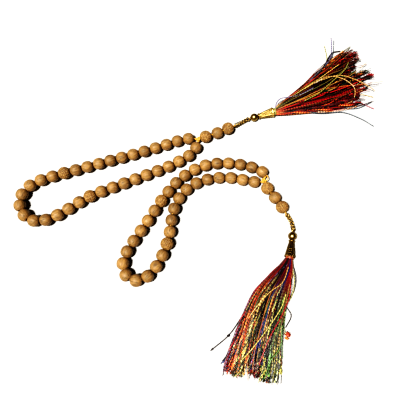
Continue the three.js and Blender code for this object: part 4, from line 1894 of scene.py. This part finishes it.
class PRAYER_OT_caps(bpy.types.Operator):
    """Make each metal ball and each pierced cap with its stem and eye"""

    bl_idname = "prayer.caps"
    bl_label = "Balls and Caps"

    def execute(self, context):
        metal = settings("metal")
        polished = metal_material("polished_gold", metal)
        cap = cap_parts(metal)
        ball = [turned(ball_profile(metal.ball_radius), BALL_SIDES)]
        for strand in STRANDS:
            key = strand["key"]
            place = cap_basis(strand)
            # Each cap has its own material: cap b's is darker, as painted shade.
            pressed = metal_material(f"pressed_gold_{key}", metal)
            self.put_in_place("pierced_cap", f"cap_{key}", cap, place, pressed, key)
            ahead = place @ Matrix.Translation((0, BALL_AHEAD, 0))
            self.put_in_place("polished_ball", f"ball_{key}", ball, ahead, polished, key)
        return {"FINISHED"}

    def put_in_place(self, name, node, parts, place, material, key):
        """A metal piece from its parts, which stand at the eye, on the body named as its node."""
        mesh = merged(name, parts)
        mesh.transform(place)
        settle(build_object(f"{name}_{key}", mesh, material), node, "gold_metal", node)


class PRAYER_OT_tassels(bpy.types.Operator):
    """Spin and twist the threads of each tassel, and bind their neck"""

    bl_idname = "prayer.tassels"
    bl_label = "Tassels"

    def execute(self, context):
        tassel = settings("tassel")
        material = thread_material()
        for strand in STRANDS:
            key = strand["key"]
            body = f"tassel_{key}"
            chance = random.Random(tassel.seed + ord(key))
            locks = lock_threads(strand, tassel, chance)
            settle(locks.spin(f"twisted_locks_{key}", LOCK_SIDES, material),
                   body, "tassel_thread", f"tassel_{key}")
            loose = loose_threads(strand, tassel, chance)
            settle(loose.spin(f"loose_threads_{key}", LOOSE_SIDES, material),
                   body, "tassel_thread")
            binding = neck_binding(strand, tassel)
            settle(binding.spin(f"neck_binding_{key}", BINDING_SIDES, material),
                   body, "tassel_thread")
        return {"FINISHED"}


class PRAYER_PT_strands(bpy.types.Panel):
    """Lists the steps that build the prayer bead strands, and their sizes"""

    bl_label = "Prayer Bead Strands"
    bl_idname = "PRAYER_PT_strands"
    bl_space_type = "VIEW_3D"
    bl_region_type = "UI"
    bl_category = "Prayer Beads"

    def draw(self, context):
        for label, group in SETTING_GROUPS.items():
            box = self.layout.box()
            box.label(text=label.capitalize())
            for name in group.__annotations__:
                box.prop(settings(label), name)
        for operator in OPERATORS:
            self.layout.operator(operator.bl_idname)


SETTING_GROUPS = {
    "beads": PrayerBeadSettings,
    "cord": PrayerCordSettings,
    "metal": PrayerMetalSettings,
    "tassel": PrayerTasselSettings,
    "stage": PrayerStageSettings,
}

# The order in which the steps run: the camera and the cords come first.
OPERATORS = (
    PRAYER_OT_stage,
    PRAYER_OT_cords,
    PRAYER_OT_beads,
    PRAYER_OT_chains,
    PRAYER_OT_caps,
    PRAYER_OT_tassels,
)


def register():
    for label, group in SETTING_GROUPS.items():
        bpy.utils.register_class(group)
        setattr(bpy.types.Scene, "prayer_" + label, PointerProperty(type=group))
    for cls in (*OPERATORS, PRAYER_PT_strands):
        bpy.utils.register_class(cls)


def unregister():
    for cls in (PRAYER_PT_strands, *reversed(OPERATORS)):
        bpy.utils.unregister_class(cls)
    for label, group in SETTING_GROUPS.items():
        delattr(bpy.types.Scene, "prayer_" + label)
        bpy.utils.unregister_class(group)


def main():
    register()
    for operator in OPERATORS:
        module, name = operator.bl_idname.split(".")
        getattr(getattr(bpy.ops, module), name)()


if __name__ == "__main__":
    main()
